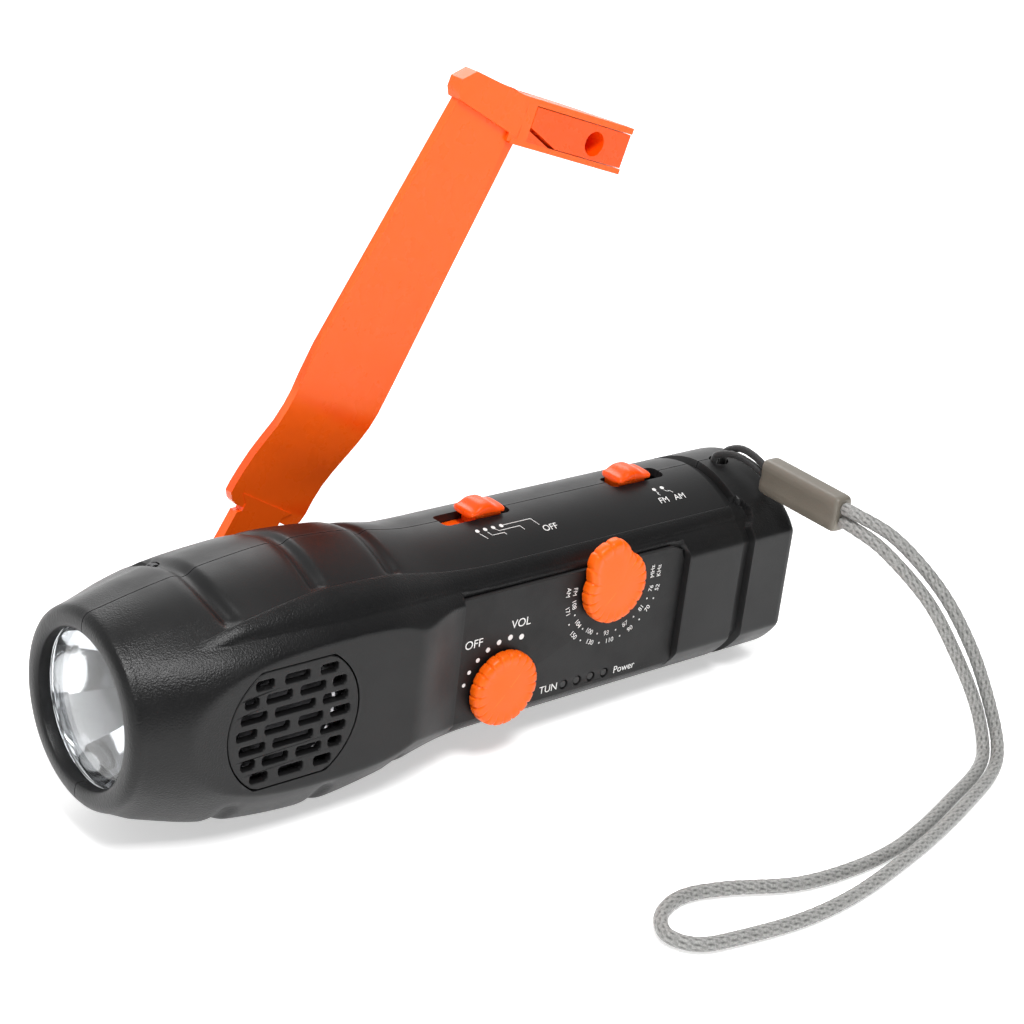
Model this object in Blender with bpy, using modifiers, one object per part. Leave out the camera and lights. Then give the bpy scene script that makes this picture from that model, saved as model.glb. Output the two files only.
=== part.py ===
"""Emergency radio: a hand-crank torch with a radio, as an assembly of separate pieces.

Every number below is in millimetres, in the torch's own axes: X runs from the nose to the tail, -Y is the side
with the controls, +Z the side with the switches, and the torch's axis is y = 0, z = 0.  The torch lies on its
head and its tail, so these axes are turned by TILT in the world, where the surface it lies on is z = 0.
"""

import math

import bmesh
import bpy
from mathutils import Matrix, Vector

MM = 0.001
GAP = 0.3                      # clearance between pieces that touch

# housing
WALL = 2.0
NOSE_X = -1.5
TAIL_X = 189.5
HEAD_FLAT = 26.0               # half-width of the head's flat sides
TAIL_FLAT = 23.0               # half-width of the tail's flat side, control side
CRANK_FLAT = 19.5              # half-width of the body's flat on the crank side
PANEL_SEAT = 19.9              # half-width under the control panel
PANEL_FACE = 21.3
PANEL_X = (83.6, 151.8)
PANEL_Z = 15.9
TAIL_GROOVE = (170.4, 173.6)
TAIL_GROOVE_DEPTH = 1.7
HEAD_GROOVES = (23.0, 47.0, 68.0)
GROOVE_HALF = 1.7
GROOVE_DEPTH = 1.0
SEAM_GAP = 0.15                # each half stops this far from the middle plane
BASE_X, BASE_Z, BASE_SLOPE = 45.0, -29.0, 0.03066   # the plane that the torch lies on
TILT = math.atan(BASE_SLOPE)
ORIGIN = (48.0, 0.0, BASE_Z + 3.0 * BASE_SLOPE)

# controls
GRILLE = (35.7, 16.7, 14.0)    # centre x, radius, half-height of its flat-cut top and bottom
VOLUME_AT = (96.5, -8.3)       # x, z of each knob's shaft
TUNING_AT = (127.6, 10.9)
KNOB_R = 9.3
KNOB_FACE = 24.9
TUNING_LOBE = 3.5
SWITCH_TOP = 28.1
SHAFT_R = 2.0                  # the shafts of the two knobs
CRANK_SHAFT_R = 3.0
MODE_SLOT = (91.3, 111.1)
BAND_SLOT = (142.8, 160.2)
SLOT_HALF = 2.9
SCREWS = ((24.0, 20.5), (24.0, -20.5), (164.0, 16.0), (164.0, -14.0))
INDICATOR_X = (117.2, 121.5, 125.8, 130.1)
INDICATOR_Z = -13.6

# crank
HUB_X = 48.0
ARM_ANGLE = math.radians(60.5)
ARM_IN = 21.3                  # the strap's inner face beside the body
ARM_ROOT_IN = 27.0             # and over the head
ARM_THICK = 2.4
ARM_BEND = (33.0, 58.0)        # distances from the hub between which the strap steps in
ARM_END = 129.0
BAR_AT = (133.5, 8.0)          # where the grip's cradle starts: distance from hub, distance across
BAR_TURN = math.radians(12.6)
BAR_LONG = 36.0
BAR_Q = (-6.6, 4.8)
BAR_FRONT = 20.3
GRIP_PIN = (6.5, 29.0)         # the grip's hinge pin: distance along the cradle, y

# gear train
HUB_TEETH, IDLER_SMALL, HUB_MODULE = 48, 12, 0.6
IDLER_LARGE, PINION_TEETH, PINION_MODULE = 36, 9, 0.5
IDLER_X = HUB_X + HUB_MODULE * (HUB_TEETH + IDLER_SMALL) / 2
PINION_X = IDLER_X + PINION_MODULE * (IDLER_LARGE + PINION_TEETH) / 2

# lanyard
HOLE_AT = (180.0, -1.3)
LOOP_D = 1.5
CORD_D = 3.2
CLAMP_FROM = (183.4, -15.1, 26.0)
CLAMP_TO = (183.8, -40.6, 25.2)
CLAMP_HALF = (2.9, 4.6)


for old in list(bpy.data.objects):
    bpy.data.objects.remove(old, do_unlink=True)


def new_collection(name):
    made = bpy.data.collections.new(name)
    bpy.context.scene.collection.children.link(made)
    return made


PARTS = new_collection("emergency_radio")
CUTTERS = new_collection("cutters")

FRAME = bpy.data.objects.new("torch_axes", None)
FRAME.rotation_euler = (0.0, TILT, 0.0)
FRAME.location = -(Matrix.Rotation(TILT, 3, "Y") @ (Vector(ORIGIN) * MM))
PARTS.objects.link(FRAME)


def material(name, colour, roughness, metallic=0.0):
    made = bpy.data.materials.new(name)
    made.use_nodes = True
    shader = made.node_tree.nodes["Principled BSDF"]
    shader.inputs["Base Color"].default_value = (*colour, 1.0)
    shader.inputs["Roughness"].default_value = roughness
    shader.inputs["Metallic"].default_value = metallic
    made.diffuse_color = (*colour, 1.0)
    return made


BLACK = (0.018, 0.018, 0.02)
ORANGE = (0.9, 0.13, 0.01)
STEEL = (0.6, 0.6, 0.62)
COPPER = (0.72, 0.33, 0.15)


# ---------------------------------------------------------------- making objects


def add_object(name, mesh, looks, at=(0, 0, 0)):
    """An object in the torch's axes, with its origin at `at`. looks is (colour, roughness, metallic)."""
    made = bpy.data.objects.new(name, mesh)
    PARTS.objects.link(made)
    made.parent = FRAME
    made.location = Vector(at) * MM
    mesh.materials.append(material(name, *looks))
    return made


def as_cutter(obj):
    PARTS.objects.unlink(obj)
    CUTTERS.objects.link(obj)
    obj.hide_render = True
    obj.display_type = "WIRE"
    return obj


def mesh_from(bm, name, at=(0, 0, 0)):
    """A mesh in metres, relative to `at`, from a bmesh in millimetres."""
    bmesh.ops.translate(bm, verts=bm.verts, vec=-Vector(at))
    bmesh.ops.scale(bm, vec=(MM, MM, MM), verts=bm.verts)
    bmesh.ops.recalc_face_normals(bm, faces=bm.faces)
    mesh = bpy.data.meshes.new(name)
    bm.to_mesh(mesh)
    bm.free()
    return mesh


def smooth(obj, angle=35.0):
    obj.data.shade_smooth()
    obj.data.set_sharp_from_angle(angle=math.radians(angle))
    return obj


def bevel(obj, width, segments=2):
    made = obj.modifiers.new("bevel", "BEVEL")
    made.width = width * MM
    made.segments = segments
    made.limit_method = "ANGLE"
    made.angle_limit = math.radians(40.0)
    return obj


def boolean(obj, other, operation="DIFFERENCE"):
    made = obj.modifiers.new(operation.lower(), "BOOLEAN")
    made.operation = operation
    made.solver = "EXACT"
    made.object = other
    return obj


def box(name, low, high, looks, at=(0, 0, 0), turn=None):
    """A box between two corners; turn is a 4x4 matrix applied to it."""
    bm = bmesh.new()
    bmesh.ops.create_cube(bm, size=1.0)
    low, high = Vector(low), Vector(high)
    bmesh.ops.scale(bm, vec=high - low, verts=bm.verts)
    bmesh.ops.translate(bm, vec=(low + high) / 2, verts=bm.verts)
    if turn is not None:
        bmesh.ops.transform(bm, matrix=turn, verts=bm.verts)
    return add_object(name, mesh_from(bm, name, at), looks, at)


def rod(name, start, end, radius, looks, at=(0, 0, 0), end_radius=None, sides=32):
    """A cylinder or cone between two points."""
    start, end = Vector(start), Vector(end)
    bm = bmesh.new()
    bmesh.ops.create_cone(
        bm, cap_ends=True, segments=sides, radius1=radius,
        radius2=radius if end_radius is None else end_radius, depth=(end - start).length,
    )
    turn = Vector((0, 0, 1)).rotation_difference(end - start).to_matrix().to_4x4()
    bmesh.ops.transform(bm, matrix=Matrix.Translation((start + end) / 2) @ turn, verts=bm.verts)
    return smooth(add_object(name, mesh_from(bm, name, at), looks, at))


def turned(name, profile, at, axis, looks, closed=False, steps=32):
    """A turned piece: profile is (radius, height) points down the outer side, turned about axis through at."""
    bm = bmesh.new()
    points = [bm.verts.new((r * MM, 0, h * MM)) for r, h in profile]
    for a, b in zip(points, points[1:]):
        bm.edges.new((a, b))
    if closed:
        bm.edges.new((points[-1], points[0]))
    mesh = bpy.data.meshes.new(name)
    bm.to_mesh(mesh)
    bm.free()
    made = add_object(name, mesh, looks, at)
    made.rotation_mode = "QUATERNION"
    made.rotation_quaternion = Vector((0, 0, 1)).rotation_difference(Vector(axis))
    screw = made.modifiers.new("turn", "SCREW")
    screw.steps = screw.render_steps = steps
    screw.use_merge_vertices = True
    screw.merge_threshold = 0.00001
    return made


def extruded(name, outlines, low, high, looks, at=(0, 0, 0), turn=None):
    """A flat piece from (a, b) outlines, the first its rim and the others holes, between two heights."""
    curve = bpy.data.curves.new(name, "CURVE")
    curve.dimensions = "2D"
    curve.fill_mode = "BOTH"
    curve.extrude = (high - low) / 2
    for outline in outlines:
        spline = curve.splines.new("POLY")
        spline.points.add(len(outline) - 1)
        for point, (a, b) in zip(spline.points, outline):
            point.co = (a, b, 0, 1)
        spline.use_cyclic_u = True
    flat = bpy.data.objects.new(name + "_curve", curve)
    bpy.context.scene.collection.objects.link(flat)
    bpy.context.view_layer.update()
    seen = flat.evaluated_get(bpy.context.evaluated_depsgraph_get())
    mesh = bpy.data.meshes.new_from_object(seen)
    bm = bmesh.new()
    bm.from_mesh(mesh)
    bpy.data.objects.remove(flat, do_unlink=True)
    bmesh.ops.remove_doubles(bm, verts=bm.verts, dist=0.001)
    bmesh.ops.translate(bm, vec=(0, 0, (low + high) / 2), verts=bm.verts)
    if turn is not None:
        bmesh.ops.transform(bm, matrix=turn, verts=bm.verts)
    return add_object(name, mesh_from(bm, name, at), looks, at)


def tube(name, points, diameter, looks):
    """A cord: a poly curve with round sides and filled caps, made a mesh."""
    curve = bpy.data.curves.new(name, "CURVE")
    curve.dimensions = "3D"
    curve.bevel_depth = diameter / 2
    curve.bevel_resolution = 2
    curve.use_fill_caps = True
    spline = curve.splines.new("POLY")
    spline.points.add(len(points) - 1)
    for point, place in zip(spline.points, points):
        point.co = (*place, 1)
    wire = bpy.data.objects.new(name + "_curve", curve)
    bpy.context.scene.collection.objects.link(wire)
    bpy.context.view_layer.update()
    mesh = bpy.data.meshes.new_from_object(wire.evaluated_get(bpy.context.evaluated_depsgraph_get()))
    bm = bmesh.new()
    bm.from_mesh(mesh)
    bpy.data.objects.remove(wire, do_unlink=True)
    bmesh.ops.remove_doubles(bm, verts=bm.verts, dist=0.001)
    return smooth(add_object(name, mesh_from(bm, name), looks))


# the plane of the crank side: an outline's (a, b) become x and z, and its height becomes y
XZ = Matrix(((1, 0, 0, 0), (0, 0, 1, 0), (0, 1, 0, 0), (0, 0, 0, 1)))


def circle(radius, centre=(0, 0), sides=32):
    return [
        (centre[0] + radius * math.cos(2 * math.pi * k / sides), centre[1] + radius * math.sin(2 * math.pi * k / sides))
        for k in range(sides)
    ]


def smooth_value(points, x):
    """A smooth curve through (x, value) points, flat beyond its ends."""
    if x <= points[0][0]:
        return points[0][1]
    if x >= points[-1][0]:
        return points[-1][1]
    k = max(i for i in range(len(points) - 1) if points[i][0] <= x)

    def slope(i):
        a, b = points[max(i - 1, 0)], points[min(i + 1, len(points) - 1)]
        return (b[1] - a[1]) / (b[0] - a[0])

    (x0, v0), (x1, v1) = points[k], points[k + 1]
    t, step = (x - x0) / (x1 - x0), x1 - x0
    h = (2 * t**3 - 3 * t**2 + 1, t**3 - 2 * t**2 + t, -2 * t**3 + 3 * t**2, t**3 - t**2)
    return h[0] * v0 + h[1] * step * slope(k) + h[2] * v1 + h[3] * step * slope(k + 1)


def ramp(x, start, end):
    t = min(max((x - start) / (end - start), 0.0), 1.0)
    return t * t * (3 - 2 * t)


# ---------------------------------------------------------------- housing

TOP_R = [(-1.5, 21.2), (-0.9, 21.9), (0, 22.5), (2, 23.0), (14.6, 25.6), (30.6, 28.1), (46, 29.4),
         (63, 28.5), (72, 26.9), (80.4, 25.5), (88, 25.2), (100, 25.2), (187, 25.2)]
CORNER_R = [(-1.5, 21.2), (-0.9, 21.9), (0, 22.5), (2, 23.1), (8, 25.3), (14.6, 27.6), (22, 29.4), (32, 30.6),
            (46, 31.0), (62, 30.6), (72, 28.9), (82, 27.2), (92, 26.5), (187, 26.4)]
LOW_R = [(-1.5, 21.2), (-0.9, 21.9), (0, 22.5), (2, 23.4), (6, 25.4), (22, 30.0), (47, 32.2), (66, 30.0),
         (75, 28.2), (84, 26.9), (95, 26.4), (187, 26.2)]
BOTTOM_R = [(-1.5, 21.2), (-0.9, 21.9), (0, 22.5), (2, 23.1), (14.6, 26.4), (30, 28.9), (46, 30.0), (63, 28.8),
            (80, 25.6), (90, 25.1), (187, 25.0)]


def groove_depth(x):
    depth = sum(GROOVE_DEPTH * max(0.0, 1 - ((x - g) / GROOVE_HALF) ** 2) for g in HEAD_GROOVES)
    return depth


def in_tail_groove(x):
    return TAIL_GROOVE[0] < x < TAIL_GROOVE[1]


def side_half_width(x, side):
    """Half-width of the housing's flat side; side is -1 with the controls, +1 with the crank."""
    if side < 0:
        if PANEL_X[0] - 0.7 < x < PANEL_X[1] + 0.7:
            return PANEL_SEAT
        width = HEAD_FLAT if x < 68 else HEAD_FLAT - (HEAD_FLAT - 22.4) * ramp(x, 68, 83)
        if x > PANEL_X[1]:
            width = TAIL_FLAT
    else:
        width = HEAD_FLAT if x < 64 else HEAD_FLAT - (HEAD_FLAT - CRANK_FLAT) * ramp(x, 64, 86)
    return width - (TAIL_GROOVE_DEPTH if in_tail_groove(x) else 0.0)


def rib_height(x, degrees):
    """The long raised rib along the shoulder of the control side."""
    start, end = 31.0 + 6.0 * ramp(x, 60, 100), 51.0
    grow = ramp(x, 14, 34) * (1.1 - 0.4 * ramp(x, 66, 96))
    middle, half = (start + end) / 2, (end - start) / 2 * (0.35 + 0.65 * ramp(x, 14, 40))
    across = abs(degrees - middle) / half
    return grow * max(0.0, 1 - across**4)


def housing_radius(x, degrees, side):
    """The housing's radius at x; degrees count from the top seam down one side."""
    around = [(0, smooth_value(TOP_R, x)), (32, smooth_value(TOP_R, x) * 0.992), (58, smooth_value(CORNER_R, x)),
              (122, smooth_value(CORNER_R, x)), (150, smooth_value(LOW_R, x)), (180, smooth_value(BOTTOM_R, x))]
    radius = smooth_value(around, degrees)
    if side < 0:
        radius += rib_height(x, degrees)
    if degrees < 31 or degrees > 128 or side > 0:
        radius -= groove_depth(x)
    if in_tail_groove(x):
        radius -= TAIL_GROOVE_DEPTH
    width = side_half_width(x, side)
    sine = math.sin(math.radians(degrees))
    return min(radius, width / sine) if sine > 0.2 else radius


def housing_point(x, degrees, side, shrink=1.0):
    radius = housing_radius(x, degrees, side) * shrink
    turn = math.radians(degrees)
    floor = BASE_Z + (x - BASE_X) * BASE_SLOPE
    return Vector((x, side * radius * math.sin(turn), max(radius * math.cos(turn), floor)))


AROUND = [0, 10, 20, 28, 34, 41, 49, 53, 61, 75, 90, 105, 119, 126, 136, 146, 156, 166, 173, 180]


def housing_stations():
    xs = [NOSE_X, 0, 2, 7, 14, 32, 39, 56, 62, 77, 82.6, 83.0, 100, 126, 152.4, 152.6, 162, 179, 184, 187.2]
    for g in HEAD_GROOVES:
        xs += [g - GROOVE_HALF, g, g + GROOVE_HALF]
    for g in TAIL_GROOVE:
        xs += [g - 0.05, g + 0.05]
    return sorted(xs)


def housing_half(name, side):
    bm = bmesh.new()
    rings = []
    for x in housing_stations():
        rings.append([bm.verts.new(housing_point(x, d, side)) for d in AROUND])
    for x, shrink in ((188.7, 0.955), (TAIL_X, 0.9), (TAIL_X, 0.5)):
        rings.append([bm.verts.new(Vector((x, *housing_point(187.2, d, side, shrink).yz))) for d in AROUND])
    middle = bm.verts.new((TAIL_X, 0, 0))
    for a, b in zip(rings, rings[1:]):
        for k in range(len(AROUND) - 1):
            bm.faces.new((a[k], a[k + 1], b[k + 1], b[k]))
    for k in range(len(AROUND) - 1):
        bm.faces.new((rings[-1][k], rings[-1][k + 1], middle))
    bmesh.ops.triangulate(bm, faces=bm.faces)
    mesh = mesh_from(bm, name)
    if sum(face.area * face.normal.yz.dot(face.center.yz) for face in mesh.polygons) < 0:
        mesh.flip_normals()
    made = add_object(name, mesh, (BLACK, 0.45))
    shell = made.modifiers.new("wall", "SOLIDIFY")
    shell.thickness = WALL * MM
    shell.offset = -1.0
    shell.use_even_offset = True
    other = box(name + "_seam", (-20, 0, -60), (220, 60, 60), (BLACK, 0.5))
    other.location.y = -SEAM_GAP * MM if side < 0 else (SEAM_GAP - 60) * MM
    boolean(made, as_cutter(other))
    return smooth(made, 30.0)


def cut_with(pieces, cutter):
    as_cutter(cutter)
    for piece in pieces:
        boolean(piece, cutter)


def disc_with_flats(radius, half_height, centre, sides=48):
    points = []
    for a, b in circle(radius, (0, 0), sides):
        points.append((centre + a, max(-half_height, min(half_height, b))))
    return points


def make_housing():
    near = housing_half("housing_control_side", -1)
    far = housing_half("housing_crank_side", 1)
    x, radius, half = GRILLE
    opening = disc_with_flats(radius + GAP, half + GAP, x)
    cut_with([near], extruded("grille_opening", [opening], -30, -20, (BLACK, 0.5), turn=XZ))
    for at, name in ((VOLUME_AT, "volume"), (TUNING_AT, "tuning")):
        place = (at[0], -24, at[1]), (at[0], -15, at[1])
        cut_with([near], rod(name + "_shaft_hole", *place, SHAFT_R + 0.3, (BLACK, 0.5)))
    for k, x in enumerate(INDICATOR_X):
        cut_with([near], rod(f"indicator_hole_{k}", (x, -24, INDICATOR_Z), (x, -15, INDICATOR_Z), 1.25,
                             (BLACK, 0.5), sides=12))
    for name, (start, end) in (("mode", MODE_SLOT), ("band", BAND_SLOT)):
        cut_with([near, far], box(name + "_slot", (start, -SLOT_HALF, 18), (end, SLOT_HALF, 30), (BLACK, 0.5)))
    cut_with([far], rod("crank_hole", (HUB_X, 18, 0), (HUB_X, 30, 0), 5.9, (BLACK, 0.5)))
    cut_with([near, far], rod("lanyard_hole", (HOLE_AT[0], HOLE_AT[1], 18), (HOLE_AT[0], HOLE_AT[1], 30), 2.5,
                              (BLACK, 0.5), sides=20))
    cut_with([near, far], rod("socket_hole", (180, 0, -8), (195, 0, -8), 4.3, (BLACK, 0.5)))
    cut_screw_holes(near, far)


def screw_seat(x):
    """How far from the middle plane a housing screw's head sits."""
    return 12.8 if x < 60 else 15.2


def cut_screw_holes(near, far):
    for k, (x, z) in enumerate(SCREWS):
        reach = screw_seat(x) + 2.5
        for half, side in ((near, -1), (far, 1)):
            boss = rod(f"screw_boss_{k}_{side}", (x, side * SEAM_GAP, z), (x, side * reach, z), 3.2, (BLACK, 0.5), sides=20)
            boolean(half, as_cutter(boss), "UNION")
        cut_with([near], rod(f"screw_thread_{k}", (x, 1, z), (x, -6, z), 1.5, (BLACK, 0.5), sides=16))
        cut_with([far], rod(f"screw_hole_{k}", (x, -1, z), (x, 30, z), 1.5, (BLACK, 0.5), sides=16))
        cut_with([far], rod(f"screw_head_hole_{k}", (x, screw_seat(x) - 0.2, z), (x, 30, z), 2.6, (BLACK, 0.5), sides=20))


# ---------------------------------------------------------------- front lamp


def make_lamp():
    turned("lens", [(0, 2.0), (20.4, 1.6), (20.4, 0), (0, 0.3)], (5.4, 0, 0), (-1, 0, 0), ((0.85, 0.9, 0.92), 0.05))
    turned("lens_seal", [(21.3, 1.2), (21.3, 0), (19.6, 0), (19.6, 1.2)], (6.9, 0, 0), (-1, 0, 0),
           ((0.03, 0.03, 0.03), 0.7), closed=True)
    outer = [(20.0, 17.0), (18.2, 16.4), (13.0, 8.0), (6.8, 0.0)]
    inner = [(5.4, 0.0), (11.6, 8.0), (17.0, 17.0)]
    turned("reflector", outer + inner, (24.2, 0, 0), (-1, 0, 0), ((0.9, 0.9, 0.92), 0.08, 1.0), closed=True)
    rod("led_board", (25.9, 0, 0), (24.5, 0, 0), 11.0, ((0.85, 0.85, 0.8), 0.5))
    rod("led_emitter", (24.2, 0, 0), (20.5, 0, 0), 2.4, ((0.95, 0.85, 0.3), 0.3), end_radius=1.6, sides=20)


# ---------------------------------------------------------------- loudspeaker and grille


def slot_rows():
    """The grille's slots: each row's height, and the centre and length of each slot in it."""
    rows = {
        0: ((0.0, 6.4), (-8.2, 4.6), (8.2, 4.6)),
        1: ((-4.3, 6.6), (4.3, 6.6), (-11.2, 3.6), (11.2, 3.6)),
        2: ((0.0, 10.4), (-10.4, 6.6), (10.4, 6.6)),
        3: ((-4.3, 6.4), (4.3, 6.4), (-12.0, 5.2), (12.0, 5.2)),
    }
    for level in range(-3, 4):
        yield level * 3.7, rows[3 - abs(level)]


def rounded_slot(x, z, half_long, half_wide):
    """A slot's outline, with its corners cut."""
    a, b, cut = half_long, half_wide, 0.5
    corners = [(a, b - cut), (a - cut, b), (cut - a, b), (-a, b - cut), (-a, cut - b), (cut - a, -b), (a - cut, -b), (a, cut - b)]
    return [(x + p, z + q) for p, q in corners]


def make_speaker():
    x, radius, half = GRILLE
    outlines = [disc_with_flats(radius, half, x)]
    for z, slots in slot_rows():
        outlines += [rounded_slot(x + middle, z, long / 2, 1.15) for middle, long in slots]
    extruded("speaker_grille", outlines, -26.0, -23.9, (BLACK, 0.4), turn=XZ)
    basket = [(0, 9.0), (9.0, 9.0), (9.0, 4.4), (13.8, 2.2), (15.0, 2.2), (15.0, 0), (13.2, 0), (13.2, 1.0),
              (7.4, 3.2), (7.4, 4.0), (0, 4.0)]
    turned("speaker_basket", basket, (x, -23.2, 0), (0, 1, 0), (STEEL, 0.4, 1.0))
    cone = [(0, 2.4), (5.6, 2.2), (12.0, 0.9), (12.0, 0.4), (5.0, 1.4), (0, 1.2)]
    turned("speaker_cone", cone, (x, -23.2, 0), (0, 1, 0), ((0.06, 0.06, 0.07), 0.8))


# ---------------------------------------------------------------- control panel, knobs and switches


def make_panel():
    start, end = PANEL_X
    low, high, cut = -PANEL_Z, PANEL_Z, 4.0
    outline = [(start, low), (end - 1, low), (end, low + 1), (end, high - cut), (end - 1.2, high - 1.2),
               (end - cut, high), (start, high)]
    plate = extruded("control_panel", [outline], -PANEL_FACE, -PANEL_SEAT - GAP, (BLACK, 0.5), turn=XZ)
    for at, name in ((VOLUME_AT, "volume"), (TUNING_AT, "tuning")):
        place = (at[0], -24, at[1]), (at[0], -15, at[1])
        boolean(plate, as_cutter(rod(name + "_panel_hole", *place, SHAFT_R + 0.3, (BLACK, 0.5))))
    for k, x in enumerate(INDICATOR_X):
        name = f"panel_hole_{k}"
        boolean(plate, as_cutter(rod(name, (x, -24, INDICATOR_Z), (x, -15, INDICATOR_Z), 1.25, (BLACK, 0.5), sides=12)))
        rod(f"indicator_{k + 1}", (x, -13.8, INDICATOR_Z), (x, -21.0, INDICATOR_Z), 0.9,
            ((0.05, 0.05, 0.05), 0.2), sides=12)


def knob_outline(lobe):
    """A round knob's scalloped rim; lobe adds the tuning knob's pointer at its top."""
    points = []
    for k in range(54):
        turn = 2 * math.pi * k / 54
        radius = KNOB_R + 0.18 * math.cos(18 * turn)
        away = math.degrees(math.acos(math.cos(turn - math.radians(112))))
        radius += lobe * ramp(away, 40, 12)
        points.append((radius * math.cos(turn), radius * math.sin(turn)))
    return points


def make_knob(name, at, lobe):
    x, z = at
    pivot = (x, -PANEL_FACE, z)
    outline = [(x + a, z + b) for a, b in knob_outline(lobe)]
    knob = extruded(name + "_knob", [outline], -KNOB_FACE, -PANEL_FACE - 0.6, (ORANGE, 0.35), at=pivot, turn=XZ)
    bevel(knob, 0.7, 2)
    boolean(knob, as_cutter(rod(name + "_bore", (x, -23.8, z), (x, -20.0, z), SHAFT_R + GAP, (ORANGE, 0.4))))
    return smooth(knob)


def make_controls():
    make_knob("volume", VOLUME_AT, 0.0)
    make_knob("tuning", TUNING_AT, TUNING_LOBE)
    for name, at, start in (("volume", VOLUME_AT, -17.7), ("tuning", TUNING_AT, -11.9)):
        rod(name + "_shaft", (at[0], start, at[1]), (at[0], -23.4, at[1]), SHAFT_R, (STEEL, 0.3, 1.0),
            at=(at[0], -PANEL_FACE, at[1]), sides=24)
    x, z = VOLUME_AT
    rod("volume_control", (x, -13.8, z), (x, -17.4, z), 7.0, (STEEL, 0.4, 1.0))
    x, z = TUNING_AT
    bevel(box("tuning_capacitor", (x - 10, -11.6, z - 9.2), (x + 10, -5.6, z + 6.6), ((0.75, 0.75, 0.7), 0.5)), 0.6)


def make_switch(name, slot, cap, stem):
    """A slide switch: its knob runs in a slot of the housing, its body sits below."""
    middle = (cap[0] + cap[1]) / 2
    knob = box(name + "_switch_knob", (cap[0], -3.5, 25.7), (cap[1], 3.5, SWITCH_TOP), (ORANGE, 0.35), at=(middle, 0, 25))
    bevel(knob, 0.9, 2)
    boolean(knob, as_cutter(box(name + "_stem", (stem[0], -2.5, 22.0), (stem[1], 2.5, 26.6), (ORANGE, 0.4))), "UNION")
    boolean(knob, as_cutter(box(name + "_foot", (stem[0] - 1, -3.8, 21.3), (stem[1] + 1, 3.8, 22.4),
                                (ORANGE, 0.4))), "UNION")
    body = box(name + "_switch_body", (slot[0] + 0.5, -4.6, 15.0), (slot[1] - 0.5, 4.6, 21.0), (STEEL, 0.4, 1.0))
    bevel(body, 0.4, 1)


# ---------------------------------------------------------------- electronics


def make_electronics():
    board = box("main_board", (90.0, -13.4, -17.0), (159.5, -12.0, 17.0), ((0.02, 0.16, 0.06), 0.5))
    x, z = TUNING_AT
    boolean(board, as_cutter(rod("board_hole", (x, -20, z), (x, -8, z), SHAFT_R + 0.3, (BLACK, 0.5))))
    rod("ferrite_rod", (98, -4, -15.4), (150, -4, -15.4), 4.0, ((0.05, 0.05, 0.055), 0.6), sides=24)
    turned("ferrite_coil", [(5.6, 7), (5.6, -7), (4.3, -7), (4.3, 7)], (116, -4, -15.4), (1, 0, 0),
           (COPPER, 0.4, 0.6), closed=True, steps=24)
    for k, z in enumerate((-12.4, 0.0, 12.4)):
        cell = [(0, 22.6), (1.7, 22.6), (1.7, 21.8), (4.9, 21.8), (5.3, 21.4), (5.3, -21.6), (4.9, -22.0), (0, -22.0)]
        turned(f"cell_{k + 1}", cell, (126.0, 9.4, z), (1, 0, 0), ((0.1, 0.25, 0.12), 0.35), steps=28)
    socket = [(0, -4.6), (1.8, -4.6), (1.8, 1.0), (4.0, 1.0), (4.0, -6.0), (0, -6.0)]
    turned("charge_socket", socket, (188.2, 0, -8), (1, 0, 0), ((0.03, 0.03, 0.03), 0.5), steps=28)


def make_screws():
    for k, (x, z) in enumerate(SCREWS):
        seat = screw_seat(x)
        shank = [(0, 1.9), (2.0, 1.9), (2.3, 1.2), (2.3, 0), (1.2, 0), (1.2, -seat - 4), (0, -seat - 4.8)]
        turned(f"housing_screw_{k + 1}", shank, (x, seat, z), (0, 1, 0), (STEEL, 0.35, 1.0), steps=16)


# ---------------------------------------------------------------- crank and gear train


def gear_outline(teeth, module, start=0.0):
    """A gear's outline with trapezoid teeth; start turns it, in degrees."""
    pitch_r, points = module * teeth / 2, []
    outer, root = pitch_r + 0.85 * module, pitch_r - 1.2 * module
    step = 2 * math.pi / teeth
    for k in range(teeth):
        middle = math.radians(start) + k * step
        for radius, half in ((root, 0.30), (outer, 0.13), (outer, -0.13), (root, -0.30)):
            turn = middle - half * step
            points.append((radius * math.cos(turn), radius * math.sin(turn)))
    return points


def make_gear(name, x, teeth, module, low, high, bore, start=0.0, looks=((0.85, 0.84, 0.78), 0.5)):
    outline = [(x + a, b) for a, b in gear_outline(teeth, module, start)]
    return extruded(name, [outline, circle(bore, (x, 0), 24)], low, high, looks, at=(x, 0, 0), turn=XZ)


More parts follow.
